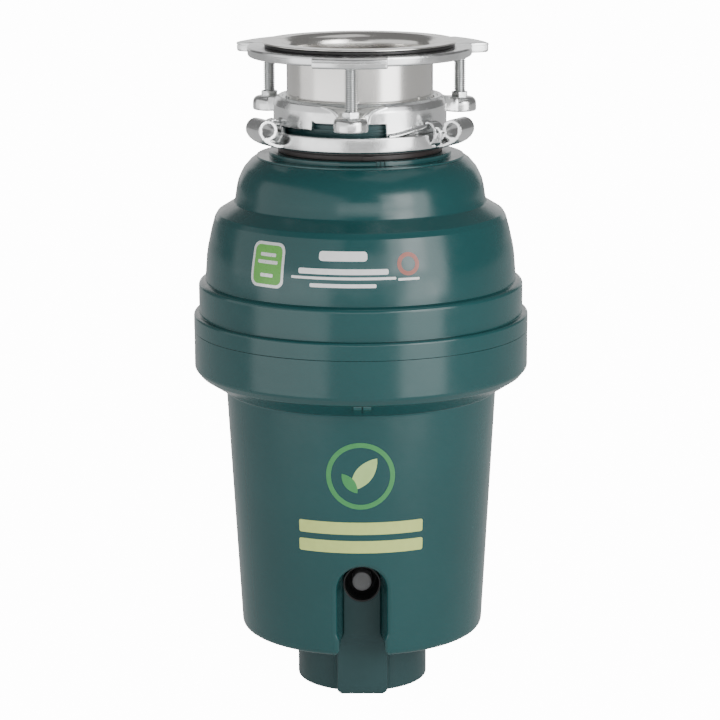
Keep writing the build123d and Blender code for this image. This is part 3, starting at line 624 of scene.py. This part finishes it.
# ---- upper shell -----------------------------------------------------------------------
def upper_shell():
    """Collar top, ring, barrel, shoulder and dome, up to the neck opening and back down the inside."""
    outline = divided(soft(
        (99.0, SEAM + 0.08), (101.6, SEAM + 0.08, 0.25), (101.6, 230.9, 2.6), (98.3, 231.2, 0.35),
        (98.3, 249.9, 3.4), (94.1, 250.9, 0.3), (94.0, 255.0), (93.2, 266.0), (92.4, 271.5), (90.1, 282.0),
        (88.1, 289.3, 2.0), (86.3, 292.4, 1.6), (76.4, 298.4, 1.2), (75.6, 300.8), (74.5, 308.0),
        (73.6, 311.7), (72.0, 315.4), (70.1, 319.0), (66.1, 323.6), (63.4, 325.5, 0.4), (62.4, 325.6, 0.3),
        (62.4, 326.7, 0.3), (54.8, 326.6, 0.3), (54.7, 329.2, 0.5), (47.2, 329.2), (47.2, 322.6),
        (62.2, 322.4), (67.8, 316.8), (71.0, 309.8), (72.9, 300.0), (73.6, 297.6), (84.4, 290.6),
        (85.4, 288.6), (89.6, 271.0), (91.4, 250.2), (95.4, 247.4), (95.4, 233.0), (99.0, 228.0)), 5.0)
    bm = bmesh.new()
    polar(bm, lambda angle: outline, steps=240)
    piece = build("upper_shell_moulding", bm)
    combine(piece, block("window", (-37, 37), (223.4, 263.8), (80, 112)), "DIFFERENCE")
    bm = bmesh.new()
    loft(bm, [facing_circle(12.2, y, 308.0, 48) for y in (60.0, 112.0)], closed=False, caps=True)
    combine(piece, build("inlet_hole", bm), "DIFFERENCE")
    bm = bmesh.new()
    plain = soft((54.0, 326.9), (55.7, 326.9, 0.3), (55.6, 328.9, 0.4), (54.0, 328.9))
    polar(bm, lambda angle: plain, 16, -102.6, -80.4)
    ribbed = soft((54.0, 326.8), (56.0, 326.8, 0.2), (55.9, 329.5, 0.3), (53.5, 329.5))
    for low, high in ((-80.0, -78.2), (-77.6, -75.8), (-74.8, -70.0)):
        polar(bm, lambda angle: ribbed, 6, low, high)
    combine(piece, build("rests", bm), "UNION")
    piece.modifiers.new("even", "WEIGHTED_NORMAL").keep_sharp = True
    return dress(piece, "housing", "green_shell", "upper_shell", crease=38)


def neck_rings():
    """Brown slip washer with its square locating key, and the rubber cushion above it."""
    bm = bmesh.new()
    washer = soft((46.7, 329.3), (49.4, 329.3, 0.3), (49.4, 332.2, 0.3), (46.7, 332.2))
    polar(bm, lambda angle: washer)
    key = soft((48.8, 329.4), (50.3, 329.4, 0.2), (50.3, 332.0, 0.2), (48.8, 332.0))
    polar(bm, lambda angle: key, 8, -88.1, -80.6)
    dress(build("slip_washer_ring", bm), "housing", "brown_washer", "slip_washer")
    bm = bmesh.new()
    cushion = soft((46.7, 332.3), (51.0, 332.3, 0.8), (51.0, 335.2, 0.8), (46.7, 335.2))
    polar(bm, lambda angle: cushion)
    dress(build("cushion_rubber", bm), "housing", "black_rubber", "cushion_ring")


# ---- lock ring -----------------------------------------------------------------------------
def thickened(path, thickness):
    """Closed outline round an open path."""
    half = thickness / 2
    one, two = [], []
    for index, point in enumerate(path):
        before = path[max(0, index - 1)]
        after = path[min(len(path) - 1, index + 1)]
        along = (after - before).normalized()
        side = Vector((-along.y, along.x)) * half
        one.append(tuple(point + side))
        two.append(tuple(point - side))
    return one + two[::-1]


def lug_outline():
    """Rolled sheet seen from its end: a strap under the tube, up and over it, like a 6."""
    roll = 5.1
    path = [Vector((54.6, 336.0)), Vector((58.5, 336.0)), Vector((61.5, 336.6)), Vector((64.5, 337.8)),
            Vector((67.5, 339.4)), Vector((70.2, 341.6))]
    for angle in range(-22, 302, 12):
        turn = math.radians(angle)
        path.append(Vector((LUG_AT + roll * math.cos(turn), LUG_Z + roll * math.sin(turn))))
    return thickened(path, 2.3)


def lock_ring():
    """Flanged band with three rolled lugs, each tied to the band by a hook and a bridge."""
    bm = bmesh.new()
    band = soft((47.2, 335.5), (52.6, 335.5, 0.5), (53.4, 334.2, 0.6), (57.0, 334.2, 2.2),
                (57.0, 343.5, 0.9), (54.0, 343.5, 0.4), (54.0, 338.0, 0.6), (47.2, 338.0))
    band = divided(band, 3.0)
    polar(bm, lambda angle: band, steps=256)
    piece = build("lock_ring_sheet", bm)
    parts = bmesh.new()
    half = 8.5
    outline = divided(lug_outline(), 1.6)
    hook = thickened([Vector(p) for p in (
        (56.2, 337.2), (58.6, 338.6), (59.9, 341.5), (60.2, 344.6), (59.4, 347.4),
        (57.4, 349.4), (55.0, 349.9), (53.0, 349.0))], 1.7)
    bridge = thickened([Vector(p) for p in (
        (56.2, 337.0), (59.6, 338.4), (61.8, 341.0), (62.2, 344.0))], 1.8)
    for lug in LUGS:
        one = bmesh.new()
        rings = []
        for step in range(9):
            across = -half + 2 * half * step / 8
            rings.append([(r, across, z) for r, z in outline])
        loft(one, rings, closed=False, caps=True)
        polar(one, lambda angle: hook, 10, -13.5, -5.5)
        polar(one, lambda angle: bridge, 8, -9.0, 0.0)
        turned_about(one, lug)
        join(parts, one)
    lugs = build("lugs", parts)
    melt(lugs, 0.36, 3)
    bm = bmesh.new()
    bm.from_mesh(piece.data)
    bm.from_mesh(lugs.data)
    mesh = bpy.data.meshes.new("lock_ring_sheet")
    bm.to_mesh(mesh)
    bm.free()
    piece.data = mesh
    bpy.data.objects.remove(lugs)
    return dress(piece, "lock_ring", "cast_rings", "lock_ring", crease=40)


# ---- support ring -----------------------------------------------------------------------------
def skirt_foot(angle):
    """Height of the skirt's lower edge: open at the front window, ragged beside it."""
    front = gap_between(angle, -90)
    if -64.0 < front < -33.0:
        coarse = noise.noise(Vector((front * 0.35, 3.0, 0.0)))
        fine = noise.noise(Vector((front * 1.1, 8.0, 0.0)))
        return 346.4 + 0.9 * (coarse + 0.5 * fine)
    if -33.0 <= front < -30.5:
        return 351.9 - 1.2 * (front + 33.0) / 2.5
    if -30.5 <= front <= 17.0:
        return 350.6
    return 339.4


def stud_lobe(angle):
    """Domed boss under a screw, with a web that flares into the ring."""
    bm = bmesh.new()
    dome = soft((0.05, LOBE_BOTTOM), (10.3, LOBE_BOTTOM, 1.2), (10.2, 357.5, 6.6), (0.05, 357.6), steps=8)
    polar(bm, lambda _: dome, steps=48)
    bmesh.ops.translate(bm, verts=bm.verts, vec=(STUD_AT, 0, 0))
    rings = []
    for radial, top_half, foot_half, top, foot in (
            (47.5, 20.0, 9.4, 361.2, 351.2), (50.0, 17.6, 9.2, 360.8, 351.0),
            (51.5, 15.2, 9.0, 360.3, 350.8), (53.0, 12.8, 8.8, 359.6, 350.4),
            (54.5, 10.9, 8.7, 359.0, 350.0), (56.5, 9.2, 8.6, 358.4, 349.6),
            (60.0, 7.8, 8.6, 357.9, 349.2), (67.3, 6.8, 8.6, 357.5, 349.0)):
        side = []
        for step in range(13):
            t = step / 12
            side.append((foot_half + (top_half - foot_half) * t ** 3.2, foot + (top - foot) * t))
        section = side + [(-across, z) for across, z in reversed(side)]
        rings.append([(radial, across, z) for across, z in section])
    loft(bm, rings, closed=False, caps=True)
    turned_about(bm, angle)
    return bm


def support_ring():
    """Lower cast ring: skirt, three lobes for the screws, six pads and three locking ramps."""
    bm = bmesh.new()

    def skirt(angle):
        foot = skirt_foot(angle)
        return soft((48.6, foot), (52.0, foot, 0.5), (52.0, 357.6, 1.6), (50.8, 361.0, 1.0),
                    (48.9, 362.7, 0.9), (46.8, 362.6, 0.6), (46.4, 361.2, 0.4), (44.3, 361.0, 0.3),
                    (44.3, 359.4), (48.6, 359.4, 1.0), steps=4)

    polar(bm, skirt, steps=720)
    for angle in STUDS:
        join(bm, stud_lobe(angle))
    for index in range(6):
        turn = math.radians(-92.5 + 60 * index)
        column(bm, (47.6 * math.cos(turn), 47.6 * math.sin(turn)), 1.5, 360.5, 364.0, 16, 1.4)

    for start in (-72.0, 48.0, 168.0):
        def ramp(angle, start=start):
            lift = 3.6 * smooth_step(angle, start, start + 28)
            return soft((51.5, 342.9 + lift), (55.2, 342.9 + lift, 0.5),
                        (55.2, 344.6 + lift, 0.5), (51.5, 344.6 + lift), steps=3)
        polar(bm, ramp, 40, start, start + 36)
    piece = build("support_casting", bm)
    melt(piece, 0.4, 9)
    bm = bmesh.new()
    for angle in STUDS:
        column(bm, stud_place(angle), STUD_HOLE_R, 340.0, 370.0, 40)
    combine(piece, build("holes", bm), "DIFFERENCE")
    bm = bmesh.new()
    polar(bm, lambda angle: [(40.0, 337.0), (48.5, 337.0), (48.5, 359.2),
                             (44.8, 359.8), (44.8, 366.0), (40.0, 366.0)])
    combine(piece, build("throat_clear", bm), "DIFFERENCE")
    return dress(piece, "housing", "cast_rings", "support_ring", material=ROUGH_CAST, crease=50)


# ---- screws and nuts ----------------------------------------------------------------------------
def mount_screw(index, angle):
    """Quarter inch screw with a helical thread, a slotted foot and a pointed tip; its thread roots are
    darker: painted shade.
    """
    pitch = 1.27
    crest = 3.7
    depth = 0.95
    columns = 28
    foot_z = 348.0
    thread_low = 350.2
    tip_low = 387.6
    tip_z = 388.9
    rows = int((tip_low - thread_low) / (pitch / 8))
    bm = bmesh.new()
    rings = [upright_circle(2.4, foot_z, columns), upright_circle(2.75, foot_z + 0.5, columns)]
    for row in range(rows + 1):
        z = thread_low + row * pitch / 8
        fade = smooth_step(z, thread_low, thread_low + 1.2) * (1 - smooth_step(z, tip_low - 1.2, tip_low))
        ring = []
        for k in range(columns):
            phase = (z / pitch - k / columns) % 1.0
            ridge = max(0.0, 1.0 - abs(phase - 0.5) * 2.3)
            radius = crest - depth + depth * fade * min(1.0, ridge * 1.25)
            turn = math.tau * k / columns
            ring.append((radius * math.cos(turn), radius * math.sin(turn), z))
        rings.append(ring)
    rings.append(upright_circle(1.9, tip_z, columns))
    loft(bm, rings, closed=False, caps=True)
    # Faces deep in the thread's grooves take the second, darker material: painted shade in the thread
    # roots.
    for face in bm.faces:
        middle = face.calc_center_median()
        if thread_low + 0.6 < middle.z < tip_low - 0.6 and middle.xy.length < crest - depth * 0.55:
            face.material_index = 1
    x, y = stud_place(angle)
    bmesh.ops.translate(bm, verts=bm.verts, vec=(x, y, 0))
    piece = build(f"threaded_screw_{index}", bm)
    combine(piece, block("slot_cut", (x - 4, x + 4), (347, 349.2), (y - 0.55, y + 0.55)), "DIFFERENCE")
    shaded_roots = [polygon.material_index for polygon in piece.data.polygons]
    dress(piece, f"screw_{index}", "zinc_steel", f"mount_screw_{index}", crease=30)
    # Second material: the darker steel that paints shade into the thread roots.
    piece.data.materials.append(THREAD_ROOT_SHADE)
    piece.data.polygons.foreach_set("material_index", shaded_roots)
    return piece


def mount_nuts():
    """Thin hexagon nuts with chamfered corners."""
    low, high = 357.45, 360.4
    flat_r, corner_r = 4.7, 5.44
    sides = 48
    bm = bmesh.new()
    for angle in STUDS:
        one = bmesh.new()
        rings = []
        for corner, z in ((corner_r * 0.93, low), (corner_r, low + 0.45), (corner_r, high - 0.45),
                          (corner_r * 0.93, high)):
            ring = []
            for k in range(sides):
                turn = math.tau * k / sides
                flat = flat_r / math.cos((turn % (math.tau / 6)) - math.tau / 12)
                radius = min(flat, corner)
                ring.append((radius * math.cos(turn), radius * math.sin(turn), z))
            rings.append(ring)
        rings += [upright_circle(STUD_HOLE_R, z, sides) for z in (high, low)]
        loft(one, rings, closed=True)
        bmesh.ops.translate(one, verts=one.verts, vec=(STUD_AT, 0, 0))
        turned_about(one, angle)
        join(bm, one)
    return dress(build("hexagon_nuts", bm), "housing", "zinc_steel", "mount_nuts")


# ---- backup ring ---------------------------------------------------------------------------------
RING_R = 67.4
EAR_R = 78.9
EAR_LIP = 0.55


def ear_share(angle):
    """1 on an ear, 0 on the plain ring, with slanted sides between."""
    nearest = min(abs(gap_between(angle, stud)) for stud in STUDS)
    return 1 - smooth_step(nearest, 15.9, 18.6)


def backup_ring():
    """Upper cast ring with three ears over the screws."""
    bm = bmesh.new()

    def section(angle):
        share = ear_share(angle)
        outer = RING_R + (EAR_R - RING_R) * share
        lip = EAR_LIP * share
        return soft((47.5, 386.0, 0.5), (outer - 0.4, 385.9, 2.0), (outer - 0.1 - lip * 0.3, 389.4, 0.6),
                    (outer - lip, 390.1, 0.3), (outer, 390.5, 0.25), (outer - 0.3, 391.7, 1.3),
                    (47.5, 391.6, 0.5), steps=5)

    polar(bm, section, steps=720)
    piece = build("backup_casting", bm)
    bm = bmesh.new()
    for angle in STUDS:
        column(bm, stud_place(angle), STUD_HOLE_R, 380.0, 389.1, 40)
    combine(piece, build("holes", bm), "DIFFERENCE")
    return dress(piece, "backup_clamp", "cast_rings", "backup_ring", material=ROUGH_CAST, crease=34)


# ---- sink flange, gasket and splash guard ------------------------------------------------------------
def sink_flange():
    """Pressed sleeve with its snap ring groove, bowl and rim."""
    outline = divided(soft(
        (43.9, 388.4), (43.9, 360.0, 0.5), (43.2, 359.2, 0.4), (43.2, 357.2, 0.4), (43.9, 356.4, 0.4),
        (43.9, 354.0, 0.3), (43.0, 354.0, 0.3), (43.0, 356.6, 0.4), (42.3, 357.3, 0.4), (42.3, 359.3, 0.4),
        (43.0, 360.2, 0.5), (43.0, 388.6), (43.3, 390.8), (44.2, 392.7), (45.8, 394.0),
        (48.8, TOP - 0.15, 1.5), (54.0, TOP, 1.0), (RIM_R, TOP - 0.1, 0.5), (RIM_R, 393.95, 0.4),
        (49.4, 393.9), (46.4, 392.9), (44.8, 391.4), (44.1, 389.9)), 3.0)
    bm = bmesh.new()
    polar(bm, lambda angle: outline, steps=256)
    return dress(build("flange_pressing", bm), "housing", "stainless", "sink_flange", crease=45)


def flange_gasket():
    """Black rubber under the rim."""
    outline = soft((48.3, 391.75), (57.0, 391.75, 0.6), (57.0, 393.7, 0.6), (48.3, 393.7))
    bm = bmesh.new()
    polar(bm, lambda angle: outline)
    return dress(build("gasket_rubber", bm), "housing", "black_rubber", "flange_gasket")


def splash_guard():
    """Rubber baffle: a collar and eight drooping flaps with rounded tips."""
    bm = bmesh.new()
    collar = soft((38.8, 345.4, 0.6), (40.7, 345.2, 0.5), (40.7, 351.9), (46.2, 351.9, 0.3),
                  (46.2, 353.8, 0.4), (38.8, 353.8, 1.0))
    polar(bm, lambda angle: collar)
    root_r, tip_r = 39.4, 12.4
    for flap in range(8):
        middle = flap * 45.0
        rings = []
        for step in range(17):
            t = step / 16
            radius = root_r + (tip_r - root_r) * t
            reach = radius * math.sin(math.radians(22.5)) - 0.55
            half = math.degrees(math.asin(min(0.95, reach / radius)))
            half *= math.sqrt(max(0.04, 1 - max(0.0, (t - 0.86) / 0.16) ** 2))
            sag = 347.8 - 1.6 * t + 0.9 * math.sin(t * math.pi)
            upper = []
            for k in range(7):
                across = -1 + 2 * k / 6
                turn = math.radians(middle + half * across)
                upper.append((radius * math.cos(turn), radius * math.sin(turn), sag - 0.5 * across ** 2))
            rings.append(upper + [(x, y, z - 1.5) for x, y, z in reversed(upper)])
        loft(bm, rings, closed=False, caps=True)
    return dress(build("splash_flaps", bm), "housing", "black_rubber", "splash_guard")


# ---- plain printed marks -------------------------------------------------------------------------------
def ink(name, colour, rough=0.35, metal=0.0):
    """Printed or foil mark with a faintly uneven cover."""
    n = Nodes(name)
    cover = n.remap(n.noise(240.0, 4.0), 0.35, 0.7, 0.0, 1.0)
    n.feed("Base Color", n.mix(cover, shade(colour, 0.94), colour))
    n.feed("Roughness", n.remap(n.noise(500.0, 3.0), 0.3, 0.7, rough - 0.05, rough + 0.08))
    n.fix("Metallic", metal)
    return n.material


BODY_LINE = ((37.0, 74.35), (180.3, 82.3))
BARREL_LINE = ((252.3, 94.1), (256.0, 94.0), (266.0, 93.2), (271.5, 92.4), (282.5, 90.1), (289.8, 88.1))


def barrel_radius(z):
    """Outer radius of the shells where marks are printed, from lines of (height, radius)."""
    line = BODY_LINE if z < 200 else BARREL_LINE
    for (low, one), (high, two) in zip(line, line[1:]):
        if z <= high:
            return one + (two - one) * (z - low) / (high - low)
    return line[-1][1]


def decal(name, outline, centre, material, lift=0.06, holes=()):
    """Thin mark laid on the front. outline is (across, up) about centre = (angle, height)."""
    bm = bmesh.new()
    loops = [outline, *holes]
    for loop in loops:
        verts = [bm.verts.new((x, 0, z)) for x, z in loop]
        for index in range(len(verts)):
            bm.edges.new((verts[index - 1], verts[index]))
    bmesh.ops.triangle_fill(bm, use_beauty=True, use_dissolve=False, edges=bm.edges)
    width = max(abs(x) for x, _ in outline)
    tall = max(abs(z) for _, z in outline)
    for step in range(-int(width / 2), int(width / 2) + 1):
        geometry = bm.verts[:] + bm.edges[:] + bm.faces[:]
        bmesh.ops.bisect_plane(bm, geom=geometry, plane_co=(step * 2.0, 0, 0), plane_no=(1, 0, 0))
    for step in range(-int(tall / 3), int(tall / 3) + 1):
        geometry = bm.verts[:] + bm.edges[:] + bm.faces[:]
        bmesh.ops.bisect_plane(bm, geom=geometry, plane_co=(0, 0, step * 3.0), plane_no=(0, 0, 1))
    thick = bmesh.ops.extrude_face_region(bm, geom=bm.faces[:])
    outer = {v for v in thick["geom"] if isinstance(v, bmesh.types.BMVert)}
    angle, height = centre
    for vert in bm.verts:
        z = height + vert.co.z
        radius = barrel_radius(z) + (lift if vert in outer else -0.3)
        turn = math.radians(angle) + vert.co.x / barrel_radius(height)
        vert.co = (radius * math.cos(turn), radius * math.sin(turn), z)
    return dress(build(name, bm), "housing", "green_shell", material=material, crease=30)


def rounded_bar(width, height, radius, steps=5):
    """Rectangle with round corners."""
    corners = []
    for sx, sz, start in ((1, 1, 0), (-1, 1, 90), (-1, -1, 180), (1, -1, 270)):
        for step in range(steps + 1):
            turn = math.radians(start + 90 * step / steps)
            corners.append((sx * (width / 2 - radius) + radius * math.cos(turn),
                            sz * (height / 2 - radius) + radius * math.sin(turn)))
    return corners


def circle(radius, steps=48):
    turns = [math.tau * k / steps for k in range(steps)]
    return [(radius * math.cos(turn), radius * math.sin(turn)) for turn in turns]


def leaf(length, width, tilt, place):
    """Pointed leaf outline."""
    points = [(length * (t / 12 - 0.5), width / 2 * math.sin(math.pi * t / 12) ** 0.8) for t in range(13)]
    points += [(x, -z) for x, z in points[-2:0:-1]]
    turn = math.radians(tilt)
    return [(place[0] + x * math.cos(turn) - z * math.sin(turn),
             place[1] + x * math.sin(turn) + z * math.cos(turn)) for x, z in points]


def printed_marks():
    """Plain shapes where the real unit carries its labels."""
    white = ink("white_ink", (0.78, 0.80, 0.80))
    lime = ink("lime_ink", (0.55, 0.66, 0.20))
    leaf_dark = ink("leaf_dark_ink", (0.05, 0.26, 0.08))
    leaf_light = ink("leaf_light_ink", (0.42, 0.60, 0.22))
    silver = ink("silver_film", (0.62, 0.63, 0.62), 0.3, 0.7)
    film = ink("green_film", (0.10, 0.36, 0.05), 0.3)
    rust = ink("muted_red_ink", (0.30, 0.08, 0.055))
    badge = (-125.9, 272.6)
    label_angle = -96.4
    emblem = (-90.4, 147.0)
    decal("badge_film", rounded_bar(23.0, 26.0, 4.6), badge, silver, 0.08)
    decal("badge_panel", rounded_bar(19.6, 22.6, 3.4), badge, film, 0.14)
    for index, (wide, up) in enumerate(((11.0, 5.8), (14.0, 1.6), (9.0, -6.0))):
        place = (badge[0], badge[1] + up)
        decal(f"badge_bar_{index + 1}", rounded_bar(wide, 2.0, 0.6), place, silver, 0.2)
    rows = ((28.0, 5.6, 280.0), (53.0, 3.2, 271.2), (62.0, 1.5, 267.4), (39.0, 2.2, 263.2))
    for index, (wide, tall, height) in enumerate(rows):
        bar = rounded_bar(wide, tall, tall * 0.35)
        decal(f"label_bar_{index + 1}", bar, (label_angle, height), white)
    decal("label_ring", circle(6.6), (-72.6, 275.2), rust, holes=(circle(4.2),))
    decal("label_ring_bar", rounded_bar(13.0, 1.4, 0.5), (-72.6, 266.6), white)
    decal("emblem_ring", circle(20.5, 72), emblem, leaf_dark, holes=(circle(17.6, 72),))
    decal("emblem_leaf_1", leaf(25.0, 10.5, 52, (2.0, 1.0)), emblem, leaf_light, 0.07)
    decal("emblem_leaf_2", leaf(15.0, 6.5, 128, (-6.5, -4.5)), emblem, leaf_dark, 0.09)
    for index, height in enumerate((114.5, 103.0)):
        decal(f"slogan_bar_{index + 1}", rounded_bar(76.0, 7.6, 1.2), (emblem[0], height), lime)


# ---- floor, lights, camera ----------------------------------------------------
FLOOR_GLOW = 14.0  # seen by the camera
FLOOR_SPILL = 0.42  # seen by everything else
WORLD_GLOW = 0.2
PICTURE = 720
FOCAL_PIXELS = 2784
SENSOR = 36.0


def stage_floor():
    """White table. The camera sees it bright; the object gets little light from it."""
    bm = bmesh.new()
    edge, far = 8000, 14000
    corners = ((-edge, -edge), (edge, -edge), (edge, far), (-edge, far))
    bm.faces.new([bm.verts.new((x, y, 0)) for x, y in corners])
    floor = build("floor", bm)
    n = Nodes("floor")
    n.feed("Base Color", n.mix(n.noise(3.0), (0.30, 0.30, 0.30), (0.32, 0.32, 0.32)))
    n.fix("Roughness", 0.8)
    n.fix("Emission Color", (1, 1, 1, 1))
    sight = n.add("ShaderNodeLightPath").outputs["Is Camera Ray"]
    n.feed("Emission Strength", n.remap(sight, 0.0, 1.0, FLOOR_SPILL, FLOOR_GLOW))
    floor.data.materials.append(n.material)


def area_light(name, place, aim, size, power):
    data = bpy.data.lights.new(name, "AREA")
    data.shape = "RECTANGLE"
    data.size, data.size_y = size
    data.energy = power
    lamp = bpy.data.objects.new(name, data)
    bpy.context.scene.collection.objects.link(lamp)
    lamp.location = place
    lamp.rotation_mode = "QUATERNION"
    lamp.rotation_quaternion = (Vector(aim) - Vector(place)).to_track_quat("-Z", "Y")


LIGHTS = (  # name, place, aim, size, power; metres and watts
    ("left_board", (-0.46, -0.42, 0.16), (0, 0, 0.18), (0.62, 0.30), 0.8),
    ("right_board", (0.40, -0.48, 0.13), (0, 0, 0.16), (0.34, 0.22), 0.6),
    ("left_panel", (-0.80, -0.44, 0.50), (0, 0, 0.26), (1.9, 0.72), 3.6),
    ("right_panel", (0.68, -0.62, 0.46), (0, 0, 0.27), (0.54, 0.62), 4.6),
    ("key", (1.0, -1.45, 0.9), (0, 0, 0.2), (0.9, 0.8), 9),
    ("front_low", (0.2, -1.9, 0.5), (0, 0, 0.08), (1.8, 0.5), 7),
    ("top_box", (0.35, -0.1, 1.8), (0, 0, 0.2), (1.2, 1.0), 2.5),
    ("back_board", (0.0, 2.6, 0.75), (0, 0, 0.35), (3.2, 1.1), 10),
)


def studio():
    world = bpy.data.worlds.new("studio")
    world.use_nodes = True
    sky = world.node_tree.nodes["Background"].inputs
    sky["Color"].default_value = (1, 1, 1, 1)
    sky["Strength"].default_value = WORLD_GLOW
    bpy.context.scene.world = world
    for name, place, aim, size, power in LIGHTS:
        area_light(name, place, aim, size, power)


def camera():
    pitch = math.radians(12.37)
    distance = 1.703
    target = Vector((0, 0, 0.200))
    data = bpy.data.cameras.new("camera")
    data.sensor_width = SENSOR
    data.lens = SENSOR * FOCAL_PIXELS / PICTURE
    data.shift_x = -1.0 / PICTURE
    data.shift_y = -1.0 / PICTURE
    cam = bpy.data.objects.new("camera", data)
    bpy.context.scene.collection.objects.link(cam)
    cam.location = target + Vector((0, -distance * math.cos(pitch), distance * math.sin(pitch)))
    cam.rotation_mode = "QUATERNION"
    lean = Quaternion((0, 0, 1), math.radians(-0.24))
    cam.rotation_quaternion = (target - cam.location).to_track_quat("-Z", "Y") @ lean
    bpy.context.scene.camera = cam


lower_shell()
snap_tab()
base_cover()
reset_button()
button_bushing()
upper_shell()
neck_rings()
lock_ring()
support_ring()
for number, stud in enumerate(STUDS, start=1):
    mount_screw(number, stud)
mount_nuts()
backup_ring()
sink_flange()
flange_gasket()
splash_guard()
printed_marks()
stage_floor()
studio()
camera()
